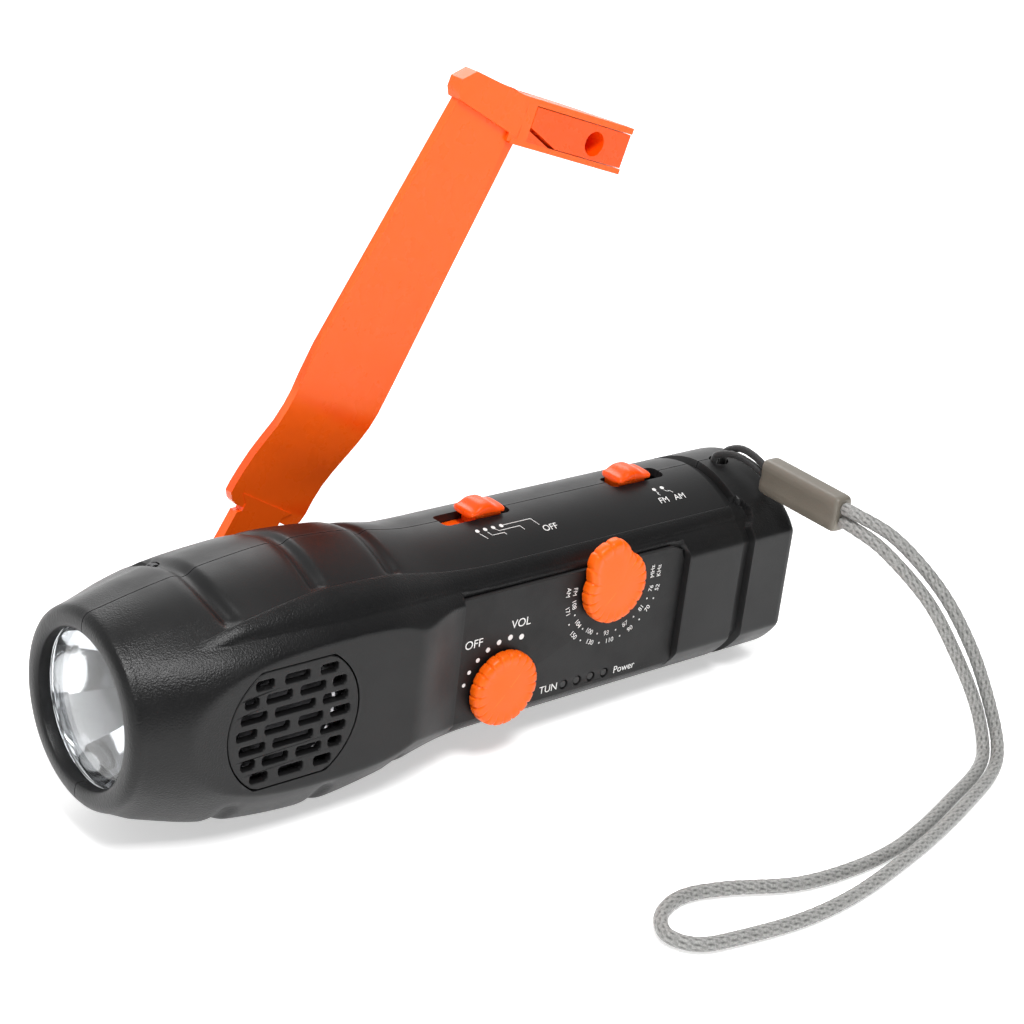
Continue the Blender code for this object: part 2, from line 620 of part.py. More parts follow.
def make_gears():
    make_gear("hub_gear", HUB_X, HUB_TEETH, HUB_MODULE, 15.0, 19.0, CRANK_SHAFT_R + GAP)
    idler = make_gear("idler_gear", IDLER_X, IDLER_LARGE, PINION_MODULE, 10.6, 13.6, 1.5)
    small = make_gear("idler_small", IDLER_X, IDLER_SMALL, HUB_MODULE, 13.3, 19.0, 1.5, start=15.0)
    boolean(idler, as_cutter(small), "UNION")
    make_gear("dynamo_pinion", PINION_X, PINION_TEETH, PINION_MODULE, 10.4, 13.8, 1.0, looks=((0.8, 0.62, 0.3), 0.35, 1.0))
    rod("idler_axle", (IDLER_X, 8.1, 0), (IDLER_X, 20.5, 0), 1.2, (STEEL, 0.3, 1.0), sides=20)
    rod("dynamo_shaft", (PINION_X, 3.0, 0), (PINION_X, 13.8, 0), 0.7, (STEEL, 0.3, 1.0), at=(PINION_X, 0, 0), sides=16)
    case = [(0, 2.0), (1.2, 2.0), (1.2, 8.0), (10.4, 8.0), (11.0, 7.4), (11.0, -5.4), (10.4, -6.0), (0, -6.0)]
    turned("dynamo", case, (PINION_X, 0, 0), (0, 1, 0), (STEEL, 0.35, 1.0), steps=36)
    outline = [(34, -9), (86, -9), (88, -5), (88, 5), (86, 9), (34, 9)]
    holes = [circle(CRANK_SHAFT_R + GAP, (HUB_X, 0), 24), circle(1.5, (IDLER_X, 0), 16), circle(2.2, (PINION_X, 0), 20)]
    extruded("gear_plate", [outline, *holes], 8.4, 9.8, (STEEL, 0.4, 1.0), turn=XZ)


def arm_point(along, across, y):
    u = Vector((math.cos(ARM_ANGLE), 0, math.sin(ARM_ANGLE)))
    v = Vector((math.sin(ARM_ANGLE), 0, -math.cos(ARM_ANGLE)))
    return Vector((HUB_X, y, 0)) + along * u + across * v


def frame_matrix(origin, along, across):
    """A matrix whose X, Y, Z are along, across and the world's y."""
    columns = [along, across, Vector((0, 1, 0)), origin]
    made = Matrix.Identity(4)
    for k, column in enumerate(columns):
        for row in range(3):
            made[row][k] = column[row]
    return made


def arm_frame():
    """Arm axes: X along the arm from the hub, Y across it, Z the world's y."""
    origin = arm_point(0, 0, 0)
    return frame_matrix(origin, arm_point(1, 0, 0) - origin, arm_point(0, 1, 0) - origin)


def bar_frame():
    """Cradle axes: X along the cradle, Y up across it, Z the world's y."""
    origin = arm_point(*BAR_AT, 0)
    u, v = arm_point(1, 0, 0) - arm_point(0, 0, 0), arm_point(0, 1, 0) - arm_point(0, 0, 0)
    along = v * math.cos(BAR_TURN) + u * math.sin(BAR_TURN)
    up = u * math.cos(BAR_TURN) - v * math.sin(BAR_TURN)
    return frame_matrix(origin, along, up)


def arm_strap():
    """The strap: a bent open strip with Solidify."""
    stations = [(25.2, 7.6, 9.4), (25.8, 9.0, 11.4), (27.2, 10.2, 12.6), (29.5, 10.2, 13.0), (33, 9.9, 13.0),
                (37, 9.7, 13.0), (41, 9.7, 13.0), (45.5, 9.9, 13.0), (50, 10.7, 13.0), (54, 11.5, 13.0),
                (58, 12.2, 13.0), (66, 12.6, 12.8), (95, 11.6, 11.6), (ARM_END + 2.0, 10.4, 10.4)]
    bm = bmesh.new()
    rows = []
    for along, low, high in stations:
        y = ARM_ROOT_IN + (ARM_IN - ARM_ROOT_IN) * ramp(along, *ARM_BEND)
        rows.append([bm.verts.new(arm_point(along, across, y)) for across in (-low, 0, high)])
    for a, b in zip(rows, rows[1:]):
        for k in range(2):
            bm.faces.new((a[k], a[k + 1], b[k + 1], b[k]))
    made = add_object("crank_arm", mesh_from(bm, "crank_arm", (HUB_X, 28, 0)), (ORANGE, 0.3), (HUB_X, 28, 0))
    if made.data.polygons[0].normal.y > 0:
        made.data.flip_normals()
    shell = made.modifiers.new("thickness", "SOLIDIFY")
    shell.thickness = ARM_THICK * MM
    shell.offset = -1.0
    shell.use_even_offset = True
    return made


def rail_outline(start, end, front, back_in):
    """A cradle rail's or the grip's side view: flat in front, with a domed back."""
    dome = [(-1.0, 26.0), (1.0, 29.2), (6.0, 31.2), (13.0, 32.2), (22.0, 30.4), (31.0, 26.4), (36.2, 23.4)]
    count = 8
    back = [start + (end - start) * k / count for k in range(count + 1)]
    return [(start, front), *[(p, smooth_value(dome, p) - back_in) for p in back], (end, front)]


def bar_side_turn():
    """Takes an outline in (distance along the cradle, y) with heights up across the cradle to the torch's axes."""
    swap = Matrix(((1, 0, 0, 0), (0, 0, 1, 0), (0, 1, 0, 0), (0, 0, 0, 1)))
    return bar_frame() @ swap


def make_arm():
    arm = arm_strap()
    looks = (ORANGE, 0.3)
    tab = [(10.0 * math.cos(math.radians(a)), 10.0 * math.sin(math.radians(a))) for a in range(67, 294, 12)]
    tab += [(5.0, -8.4), (12.0, -6.4), (23.6, -6.2), (24.3, -5.0), (26.3, -5.0), (28.2, -7.0)]
    tab += [(28.2, 9.0), (26.3, 6.9), (24.3, 6.9), (23.6, 9.2)]
    pieces = [extruded("arm_root", [tab], ARM_ROOT_IN - 0.2, ARM_ROOT_IN + 2.5, looks, turn=arm_frame())]
    knuckle = [(128.9, -10.9), (130.5, -12.4), (133.0, -12.9), (136.3, -10.2), (138.0, 6.2), (133.0, 9.3), (128.9, 9.3)]
    pieces.append(extruded("arm_knuckle", [knuckle], BAR_FRONT, 24.6, looks, turn=arm_frame()))
    low, high = BAR_Q
    side = bar_side_turn()
    for name, q0, q1 in (("rail_top", high - 1.5, high), ("rail_low", low, low + 1.3)):
        pieces.append(extruded(name, [rail_outline(-1.0, BAR_LONG, BAR_FRONT, 0.0)], q0, q1, looks, turn=side))
    pieces.append(box("bar_root", (-2.0, low + 0.4, BAR_FRONT + 0.1), (2.0, high - 0.4, 28.0), looks, turn=bar_frame()))
    pieces.append(box("bar_lip", (1.0, low + 0.4, BAR_FRONT + 0.05), (3.8, high - 0.4, 22.0), looks, turn=bar_frame()))
    gusset = [(3.0, low + 1.0), (12.2, low + 1.0), (3.0, -2.4)]
    pieces.append(extruded("bar_gusset", [gusset], BAR_FRONT + 0.15, 22.3, looks, turn=bar_frame()))
    boss = bar_frame() @ Vector((-2.3, 0.2, 24.0)), bar_frame() @ Vector((-2.3, 0.2, 31.5))
    pieces.append(rod("bar_boss", *boss, 5.2, looks, sides=28))
    for piece in pieces:
        boolean(arm, as_cutter(piece), "UNION")
    bar = bar_frame()
    pin = bar @ Vector((GRIP_PIN[0], low - 2, GRIP_PIN[1])), bar @ Vector((GRIP_PIN[0], high + 2, GRIP_PIN[1]))
    boolean(arm, as_cutter(rod("grip_pin_hole", *pin, 1.5, looks, sides=20)))
    boolean(arm, as_cutter(rod("arm_bore", (HUB_X, 20, 0), (HUB_X, 40, 0), CRANK_SHAFT_R + GAP, looks, sides=24)))
    return smooth(arm, 40.0)


def make_grip():
    """The grip that folds out of the cradle about its pin."""
    bar, low, high = bar_frame(), BAR_Q[0] + 1.3 + GAP, BAR_Q[1] - 1.5 - GAP
    pin_p, pin_y = GRIP_PIN
    pivot = bar @ Vector((pin_p, 0, pin_y))
    front = BAR_FRONT + 0.15
    heel = [(pin_p + 2.9 * math.cos(math.radians(a)), pin_y + 2.9 * math.sin(math.radians(a)))
            for a in range(104, 205, 20)]
    back = rail_outline(pin_p + 1.0, BAR_LONG - 0.4, front, 0.5)[1:-1]
    outline = [(4.1, front), *reversed(heel), *back, (BAR_LONG - 0.4, front)]
    grip = extruded("crank_grip", [outline], low, high, (ORANGE, 0.3), at=pivot, turn=bar_side_turn())
    corner = [(2.0, low - 1), (13.4, low - 1), (13.4, low), (4.0, -1.7), (2.0, -1.7)]
    boolean(grip, as_cutter(extruded("grip_corner", [corner], 15, 40, (ORANGE, 0.3), turn=bar)))
    hole = bar @ Vector((25.0, -1.3, 15)), bar @ Vector((25.0, -1.3, 26.0))
    boolean(grip, as_cutter(rod("grip_hole", *hole, 3.1, (ORANGE, 0.3), sides=28)))
    pin = bar @ Vector((pin_p, low - 3, pin_y)), bar @ Vector((pin_p, high + 3, pin_y))
    boolean(grip, as_cutter(rod("grip_bore", *pin, 1.5, (ORANGE, 0.3), sides=20)))
    pin = bar @ Vector((pin_p, BAR_Q[0] + 0.2, pin_y)), bar @ Vector((pin_p, BAR_Q[1] - 0.2, pin_y))
    rod("grip_pin", *pin, 1.2, (STEEL, 0.3, 1.0), sides=20)


def make_crank():
    make_arm()
    make_grip()
    rod("crank_shaft", (HUB_X, 7.6, 0), (HUB_X, 29.3, 0), CRANK_SHAFT_R, (STEEL, 0.3, 1.0), at=(HUB_X, 28, 0), sides=28)
    turned("crank_bush", [(5.6, 26.4), (5.6, 23.2), (CRANK_SHAFT_R + GAP, 23.2), (CRANK_SHAFT_R + GAP, 26.4)], (HUB_X, 0, 0),
           (0, 1, 0), ((0.75, 0.6, 0.3), 0.4, 1.0), closed=True, steps=32)
    screw = [(0, 31.6), (3.2, 31.6), (4.2, 30.6), (4.2, 29.8), (0, 29.8)]
    turned("crank_screw", screw, (HUB_X, 0, 0), (0, 1, 0), (STEEL, 0.35, 1.0), steps=28)


# ---------------------------------------------------------------- lanyard


def smooth_route(points, spacing):
    """Evenly spaced points on a smooth curve through a route's points."""
    fine = []
    for k in range(len(points) - 1):
        p = [Vector(points[min(max(k + j, 0), len(points) - 1)]) for j in (-1, 0, 1, 2)]
        for step in range(12):
            t = step / 12
            fine.append(0.5 * (2 * p[1] + (p[2] - p[0]) * t + (2 * p[0] - 5 * p[1] + 4 * p[2] - p[3]) * t * t
                               + (3 * p[1] - p[0] - 3 * p[2] + p[3]) * t**3))
    fine.append(Vector(points[-1]))
    placed, last, carried = [fine[0]], fine[0], 0.0
    for point in fine[1:]:
        carried += (point - last).length
        last = point
        if carried >= spacing:
            placed.append(point)
            carried = 0.0
    if (placed[-1] - fine[-1]).length < spacing / 2:
        placed.pop()
    return placed + [fine[-1]]


CORD_ROUTE = [
    (183.8, -40.95, 23.5), (184.0, -44.4, 23.3), (187.2, -52.6, 19.8), (192.6, -64.0, 10.2), (196.6, -72.6, -1.8),
    (198.9, -79.2, -12.6), (197.4, -84.6, -20.8), (190.4, -89.0, -22.9), (176.0, -94.0, -23.4),
    (160.0, -99.0, -23.9), (146.0, -102.0, -24.3), (132.0, -102.2, -24.7), (118.0, -99.8, -25.1),
    (104.0, -93.0, -25.5), (94.0, -90.0, -25.9), (85.6, -92.4, -26.1), (81.2, -98.6, -26.2),
    (84.4, -104.8, -26.1), (94.0, -107.8, -25.8), (110.0, -110.2, -25.4), (126.0, -109.8, -24.9),
    (144.0, -106.6, -24.3), (162.0, -102.2, -23.8), (178.0, -97.2, -23.3), (193.0, -91.6, -22.7),
    (200.4, -86.4, -20.0), (202.0, -80.4, -11.6), (200.2, -73.4, 0.4), (196.0, -64.6, 12.6), (190.0, -53.4, 22.6),
    (184.2, -44.4, 26.8), (183.8, -40.95, 27.0),
]
LOOP_BEND = [(180.0 + 1.6 * math.cos(math.radians(a)), -1.3, 20.6 + 1.6 * math.sin(math.radians(a)))
             for a in range(0, -181, -30)]
LOOP_ROUTE = [
    (183.4, -14.8, 27.1), (183.2, -10.4, 28.8), (182.7, -5.9, 29.3), (181.8, -2.2, 27.6), (181.6, -1.3, 25.0),
    *LOOP_BEND,
    (178.4, -1.3, 25.2), (178.8, -2.2, 27.0), (180.6, -5.6, 27.9), (182.2, -9.6, 27.1), (183.2, -12.6, 25.8),
    (183.4, -14.8, 24.9),
]


def make_lanyard():
    tube("lanyard_cord", smooth_route(CORD_ROUTE, 6.0), CORD_D, ((0.45, 0.45, 0.44), 0.8))
    tube("lanyard_loop", smooth_route(LOOP_ROUTE, 1.2), LOOP_D, ((0.02, 0.02, 0.02), 0.6))
    start, end = Vector(CLAMP_FROM), Vector(CLAMP_TO)
    along = (end - start).normalized()
    up = Vector((0, 0, 1))
    side = along.cross(up).normalized()
    up = side.cross(along)
    turn = Matrix.Identity(4)
    for k, column in enumerate((side, up, along, start)):
        for row in range(3):
            turn[row][k] = column[row]
    wide, tall = CLAMP_HALF
    clamp = box("lanyard_clamp", (-wide, -tall, 0), (wide, tall, (end - start).length), ((0.3, 0.28, 0.25), 0.6), turn=turn)
    bevel(clamp, 0.9, 2)
    rod("lanyard_bar", (180.0, -7.0, 20.6), (180.0, 4.0, 20.6), 0.6, (STEEL, 0.4, 1.0), sides=16)


make_housing()
make_lamp()
make_speaker()
make_panel()
make_controls()
make_switch("mode", MODE_SLOT, (98.1, 108.6), (100.4, 108.0))
make_switch("band", BAND_SLOT, (144.2, 154.8), (145.0, 153.5))
make_electronics()
make_screws()
make_gears()
make_crank()
make_lanyard()
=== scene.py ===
"""Looks for the emergency radio: a hand-crank torch with a radio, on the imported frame.

Lengths below are millimetres in the torch's own axes: X from the nose to the tail, -Y the side with the
controls, +Z the side with the switches.  at() takes a point from those axes to the frame's, in metres.
"""

import math

import bmesh
import bpy
from mathutils import Matrix, Vector


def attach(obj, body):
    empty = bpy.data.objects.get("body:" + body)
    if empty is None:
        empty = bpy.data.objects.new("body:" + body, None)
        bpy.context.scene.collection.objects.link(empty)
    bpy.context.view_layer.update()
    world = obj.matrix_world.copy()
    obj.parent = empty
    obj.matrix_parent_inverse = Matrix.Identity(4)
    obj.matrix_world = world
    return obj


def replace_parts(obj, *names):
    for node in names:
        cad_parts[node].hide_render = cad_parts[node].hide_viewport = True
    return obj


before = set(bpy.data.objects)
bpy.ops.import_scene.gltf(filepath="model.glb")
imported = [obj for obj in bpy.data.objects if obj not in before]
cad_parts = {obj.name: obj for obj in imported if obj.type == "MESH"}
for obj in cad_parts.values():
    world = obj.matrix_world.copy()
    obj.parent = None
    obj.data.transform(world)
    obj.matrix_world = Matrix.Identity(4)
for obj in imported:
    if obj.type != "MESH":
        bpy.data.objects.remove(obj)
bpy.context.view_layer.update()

SLOPE = 0.03066
TILT = math.atan(SLOPE)
ORIGIN = Vector((48.0, 0.0, -29.0 + 3.0 * SLOPE))
TURN = Matrix.Rotation(TILT, 4, "Y")
TO_FRAME = Matrix.Scale(0.001, 4) @ TURN @ Matrix.Translation(-ORIGIN)


def at(x, y, z):
    """A point of the torch, in the frame's metres."""
    return TO_FRAME @ Vector((x, y, z))


def along(x, y, z):
    """A direction of the torch, in the frame."""
    return TURN.to_3x3() @ Vector((x, y, z))


# ---- camera

SENSOR_MM, LENS_MM = 36.0, 84.4
CAMERA_AT = (-233.7, -383.2, 247.9)
CAMERA_AXES = ((0.7675, -0.632, 0.109), (0.178, 0.373, 0.911), (-0.616, -0.6795, 0.399))

scene = bpy.context.scene
camera_data = bpy.data.cameras.new("camera")
camera_data.sensor_width = SENSOR_MM
camera_data.lens = LENS_MM
camera_data.clip_start = 0.01
camera = bpy.data.objects.new("camera", camera_data)
scene.collection.objects.link(camera)
view_axes = Matrix([along(*axis) for axis in CAMERA_AXES]).transposed().to_4x4()
camera.matrix_world = Matrix.Translation(at(*CAMERA_AT)) @ view_axes
scene.camera = camera


# ---- helpers


def smooth_value(points, x):
    """A smooth curve through (x, value) points, flat beyond its ends."""
    if x <= points[0][0]:
        return points[0][1]
    if x >= points[-1][0]:
        return points[-1][1]
    k = max(i for i in range(len(points) - 1) if points[i][0] <= x)

    def slope(i):
        a, b = points[max(i - 1, 0)], points[min(i + 1, len(points) - 1)]
        return (b[1] - a[1]) / (b[0] - a[0])

    (x0, v0), (x1, v1) = points[k], points[k + 1]
    t, step = (x - x0) / (x1 - x0), x1 - x0
    h = (2 * t**3 - 3 * t**2 + 1, t**3 - 2 * t**2 + t, -2 * t**3 + 3 * t**2, t**3 - t**2)
    return h[0] * v0 + h[1] * step * slope(k) + h[2] * v1 + h[3] * step * slope(k + 1)


def ramp(x, start, end):
    """0 before start, 1 after end, and a smooth step between; start may be the greater."""
    t = min(max((x - start) / (end - start), 0.0), 1.0)
    return t * t * (3 - 2 * t)


def linked(name, bm):
    """An object of a bmesh, in the scene."""
    mesh = bpy.data.meshes.new(name)
    bm.to_mesh(mesh)
    bm.free()
    obj = bpy.data.objects.new(name, mesh)
    scene.collection.objects.link(obj)
    return obj


def make_object(name, bm, material, body, smooth_angle=35.0):
    """A piece from a bmesh in torch millimetres, riding on a body."""
    bmesh.ops.transform(bm, matrix=TO_FRAME, verts=bm.verts)
    obj = linked(name, bm)
    obj.data.materials.append(material)
    if smooth_angle:
        obj.data.shade_smooth()
        obj.data.set_sharp_from_angle(angle=math.radians(smooth_angle))
    if body:
        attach(obj, body)
    return obj


def ring_surface(bm, rings, caps=True):
    """Faces between rings of points, with the ends closed by flat faces."""
    rows = [[bm.verts.new(p) for p in ring] for ring in rings]
    count = len(rows[0])
    for a, b in zip(rows, rows[1:]):
        for k in range(count):
            n = (k + 1) % count
            bm.faces.new((a[k], a[n], b[n], b[k]))
    if caps:
        bm.faces.new(rows[0])
        bm.faces.new(list(reversed(rows[-1])))
    bmesh.ops.recalc_face_normals(bm, faces=bm.faces)
    return rows


def turned(name, profile, centre, axis, material, body, steps=64, smooth_angle=35.0):
    """A turned piece: (radius, height) points about an axis through centre, its ends on the axis."""
    bm = bmesh.new()
    turn = Vector((0, 0, 1)).rotation_difference(Vector(axis)).to_matrix()
    rows = []
    for radius, height in profile:
        if radius < 1e-6:
            rows.append([bm.verts.new(Vector(centre) + turn @ Vector((0, 0, height)))])
            continue
        row = []
        for k in range(steps):
            angle = 2 * math.pi * k / steps
            point = Vector((radius * math.cos(angle), radius * math.sin(angle), height))
            row.append(bm.verts.new(Vector(centre) + turn @ point))
        rows.append(row)
    for a, b in zip(rows, rows[1:]):
        for k in range(steps):
            n = (k + 1) % steps
            if len(a) == 1:
                bm.faces.new((a[0], b[k], b[n]))
            elif len(b) == 1:
                bm.faces.new((a[k], b[0], a[n]))
            else:
                bm.faces.new((a[k], b[k], b[n], a[n]))
    bmesh.ops.recalc_face_normals(bm, faces=bm.faces)
    return make_object(name, bm, material, body, smooth_angle)


def box_mesh(bm, low, high):
    """A box between two corners."""
    made = bmesh.ops.create_cube(bm, size=1.0)["verts"]
    low, high = Vector(low), Vector(high)
    bmesh.ops.scale(bm, vec=high - low, verts=made)
    bmesh.ops.translate(bm, vec=(low + high) / 2, verts=made)
    return made


def rod_mesh(bm, start, end, radius, sides=32):
    """A round bar between two points."""
    start, end = Vector(start), Vector(end)
    made = bmesh.ops.create_cone(
        bm, cap_ends=True, segments=sides, radius1=radius, radius2=radius, depth=(end - start).length
    )["verts"]
    turn = Vector((0, 0, 1)).rotation_difference(end - start).to_matrix().to_4x4()
    bmesh.ops.transform(bm, matrix=Matrix.Translation((start + end) / 2) @ turn, verts=made)


def prism(bm, outline, low, high, turn=None):
    """A closed prism from an outline in (a, b) between two heights; turn takes it to the torch's axes."""
    turn = turn or Matrix.Identity(4)
    ring_surface(bm, [[turn @ Vector((a, b, h)) for a, b in outline] for h in (low, high)])


WELD_DISTANCE = 0.000005
XZ = Matrix(((1, 0, 0, 0), (0, 0, 1, 0), (0, 1, 0, 0), (0, 0, 0, 1)))


def cut(obj, cutters):
    """One exact Boolean cut; cutters is a bmesh in torch millimetres of closed, separate bodies."""
    bmesh.ops.transform(cutters, matrix=TO_FRAME, verts=cutters.verts)
    tool = linked(obj.name + "_cut", cutters)
    made = obj.modifiers.new("cut", "BOOLEAN")
    made.operation = "DIFFERENCE"
    made.solver = "EXACT"
    made.object = tool
    bpy.context.view_layer.update()
    depsgraph = bpy.context.evaluated_depsgraph_get()
    fresh = bpy.data.meshes.new_from_object(obj.evaluated_get(depsgraph), preserve_all_data_layers=True,
                                            depsgraph=depsgraph)
    obj.modifiers.clear()
    obj.data = fresh
    bpy.data.objects.remove(tool, do_unlink=True)


def welded(obj):
    """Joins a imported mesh's doubled vertices."""
    join = obj.modifiers.new("weld", "WELD")
    join.merge_threshold = WELD_DISTANCE


def bevelled(obj, width, segments=3, angle=32.0):
    """Rounds an object's sharp edges, with a width in millimetres."""
    made = obj.modifiers.new("bevel", "BEVEL")
    made.width = width * 0.001
    made.segments = segments
    made.limit_method = "ANGLE"
    made.angle_limit = math.radians(angle)
    made.harden_normals = False
    obj.data.shade_smooth()
    normals = obj.modifiers.new("normals", "WEIGHTED_NORMAL")
    normals.keep_sharp = False


# ---- materials


def nodes_of(name):
    material = bpy.data.materials.new(name)
    material.use_nodes = True
    tree = material.node_tree
    shader = tree.nodes["Principled BSDF"]
    return material, tree, shader


def object_coordinates(tree):
    return tree.nodes.new("ShaderNodeTexCoord").outputs["Object"]


def noise_node(tree, scale, detail=4.0, roughness=0.55, coordinates=None):
    made = tree.nodes.new("ShaderNodeTexNoise")
    made.inputs["Scale"].default_value = scale
    made.inputs["Detail"].default_value = detail
    made.inputs["Roughness"].default_value = roughness
    tree.links.new(coordinates or object_coordinates(tree), made.inputs["Vector"])
    return made.outputs["Fac"]


def range_node(tree, source, low, high, to_low, to_high):
    made = tree.nodes.new("ShaderNodeMapRange")
    made.inputs["From Min"].default_value = low
    made.inputs["From Max"].default_value = high
    made.inputs["To Min"].default_value = to_low
    made.inputs["To Max"].default_value = to_high
    tree.links.new(source, made.inputs["Value"])
    return made.outputs["Result"]


def mix_colour(tree, factor, first, second, blend="MIX"):
    """A colour between two, each of which is a colour or another node's output."""
    made = tree.nodes.new("ShaderNodeMix")
    made.data_type = "RGBA"
    made.blend_type = blend
    for key, colour in (("A", first), ("B", second)):
        if isinstance(colour, bpy.types.NodeSocket):
            tree.links.new(colour, made.inputs[key])
        else:
            made.inputs[key].default_value = (*colour, 1.0)
    tree.links.new(factor, made.inputs["Factor"])
    return made.outputs["Result"]


def sum_of(tree, first, second):
    made = tree.nodes.new("ShaderNodeMath")
    made.operation = "ADD"
    tree.links.new(first, made.inputs[0])
    tree.links.new(second, made.inputs[1])
    return made.outputs["Value"]


def bump_node(tree, height, distance, strength=1.0):
    made = tree.nodes.new("ShaderNodeBump")
    made.inputs["Distance"].default_value = distance
    made.inputs["Strength"].default_value = strength
    tree.links.new(height, made.inputs["Height"])
    return made


def edge_highlight_factor(tree, low=0.53, high=0.62):
    """1 on convex edges, which the materials paint paler as a painted highlight."""
    geometry = tree.nodes.new("ShaderNodeNewGeometry")
    return range_node(tree, geometry.outputs["Pointiness"], low, high, 0.0, 1.0)


def plastic(name, colour, lighter, roughness, grain_scale, grain_depth, spread=0.06, specular=0.5,
            subsurface=0.0):
    """Moulded plastic: a fine grain, slow variation in colour and roughness, and convex edges painted paler
    as a painted highlight.
    """
    material, tree, shader = nodes_of(name)
    slow = noise_node(tree, 55.0, 3.0)
    colour_out = mix_colour(tree, slow, colour, lighter)
    # Convex edges get a paler colour here: a painted highlight.
    edge_highlight = mix_colour(tree, edge_highlight_factor(tree), colour_out, [min(1.0, c * 1.25 + 0.004) for c in lighter])
    tree.links.new(edge_highlight, shader.inputs["Base Color"])
    blotch = noise_node(tree, 160.0, 4.0)
    tree.links.new(range_node(tree, blotch, 0.3, 0.7, roughness - spread, roughness + spread),
                   shader.inputs["Roughness"])
    grain = noise_node(tree, grain_scale, 2.0, 0.6)
    bump = bump_node(tree, grain, grain_depth, 0.6)
    tree.links.new(bump.outputs["Normal"], shader.inputs["Normal"])
    shader.inputs["Specular IOR Level"].default_value = specular
    shader.inputs["Subsurface Weight"].default_value = subsurface
    shader.inputs["Subsurface Radius"].default_value = (0.004, 0.0015, 0.0005)
    return material


def housing_plastic():
    """Black moulded plastic, spark-grained where the mesh's own attribute says so and satin elsewhere."""
    material, tree, shader = nodes_of("housing_black")
    mask = tree.nodes.new("ShaderNodeAttribute")
    mask.attribute_name = "grain"
    slow = noise_node(tree, 40.0, 3.0)
    base = mix_colour(tree, slow, (0.0058, 0.0059, 0.0062), (0.0085, 0.0086, 0.0089))
    # Convex edges get a paler grey here: a painted highlight.
    edge_highlight = mix_colour(tree, edge_highlight_factor(tree, 0.52, 0.60), base, (0.02, 0.02, 0.021))
    tree.links.new(edge_highlight, shader.inputs["Base Color"])
    smear = noise_node(tree, 110.0, 5.0)
    smear_out = range_node(tree, smear, 0.3, 0.7, -0.04, 0.05)
    level = range_node(tree, mask.outputs["Fac"], 0.0, 1.0, 0.42, 0.33)
    tree.links.new(sum_of(tree, smear_out, level), shader.inputs["Roughness"])
    cells = tree.nodes.new("ShaderNodeTexVoronoi")
    cells.feature = "SMOOTH_F1"
    cells.inputs["Scale"].default_value = 2600.0
    tree.links.new(object_coordinates(tree), cells.inputs["Vector"])
    fine = noise_node(tree, 4200.0, 2.0)
    strong = bump_node(tree, sum_of(tree, cells.outputs["Distance"], fine), 0.00011)
    tree.links.new(range_node(tree, mask.outputs["Fac"], 0.0, 1.0, 0.05, 0.55), strong.inputs["Strength"])
    tree.links.new(strong.outputs["Normal"], shader.inputs["Normal"])
    shader.inputs["Specular IOR Level"].default_value = 0.3
    return material


def metal(name, colour, roughness, scratch_scale=900.0, depth=0.00002):
    """Machined metal with fine directional scratches and smudged roughness."""
    material, tree, shader = nodes_of(name)
    shader.inputs["Metallic"].default_value = 1.0
    slow = noise_node(tree, 90.0, 4.0)
    tree.links.new(mix_colour(tree, slow, [c * 0.85 for c in colour], colour), shader.inputs["Base Color"])
    mapping = tree.nodes.new("ShaderNodeMapping")
    mapping.inputs["Scale"].default_value = (1.0, 0.08, 1.0)
    tree.links.new(object_coordinates(tree), mapping.inputs["Vector"])
    scratch = noise_node(tree, scratch_scale, 6.0, 0.7, mapping.outputs["Vector"])
    tree.links.new(range_node(tree, scratch, 0.3, 0.7, roughness * 0.7, roughness * 1.4),
                   shader.inputs["Roughness"])
    bump = bump_node(tree, scratch, depth, 0.5)
    tree.links.new(bump.outputs["Normal"], shader.inputs["Normal"])
    return material


def clear_plastic():
    material, tree, shader = nodes_of("lens_clear")
    shader.inputs["Transmission Weight"].default_value = 1.0
    shader.inputs["IOR"].default_value = 1.35
    shader.inputs["Base Color"].default_value = (0.97, 0.985, 0.99, 1.0)
    haze = noise_node(tree, 130.0, 5.0)
    tree.links.new(range_node(tree, haze, 0.35, 0.75, 0.01, 0.05), shader.inputs["Roughness"])
    return material


def mirror_coat():
    material, tree, shader = nodes_of("reflector_chrome")
    shader.inputs["Metallic"].default_value = 1.0
    haze = noise_node(tree, 200.0, 4.0)
    tree.links.new(mix_colour(tree, haze, (0.86, 0.87, 0.89), (0.95, 0.95, 0.96)),
                   shader.inputs["Base Color"])
    tree.links.new(range_node(tree, haze, 0.3, 0.8, 0.04, 0.12), shader.inputs["Roughness"])
    return material


def braid_material(name, hollow_shade, crest_highlight, roughness):
    """Braided cord: the mesh carries the strands, and this gives the fibres along them, with painted shade in
    the hollows between strands and a painted highlight on their crests.
    """
    material, tree, shader = nodes_of(name)
    mask = tree.nodes.new("ShaderNodeAttribute")
    mask.attribute_name = "crest_shading"
    # Painted shade in the hollows between strands, and a painted highlight on their crests.
    base = mix_colour(tree, mask.outputs["Fac"], hollow_shade, crest_highlight)
    fibre = noise_node(tree, 2200.0, 3.0, 0.7)
    between = range_node(tree, fibre, 0.4, 0.65, 0.0, 1.0)
    shade = mix_colour(tree, between, base, (0.62, 0.62, 0.62), "MULTIPLY")
    tree.links.new(shade, shader.inputs["Base Color"])
    shader.inputs["Roughness"].default_value = roughness
    shader.inputs["Sheen Weight"].default_value = 0.3
    bump = bump_node(tree, fibre, 0.00012, 0.7)
    tree.links.new(bump.outputs["Normal"], shader.inputs["Normal"])
    return material


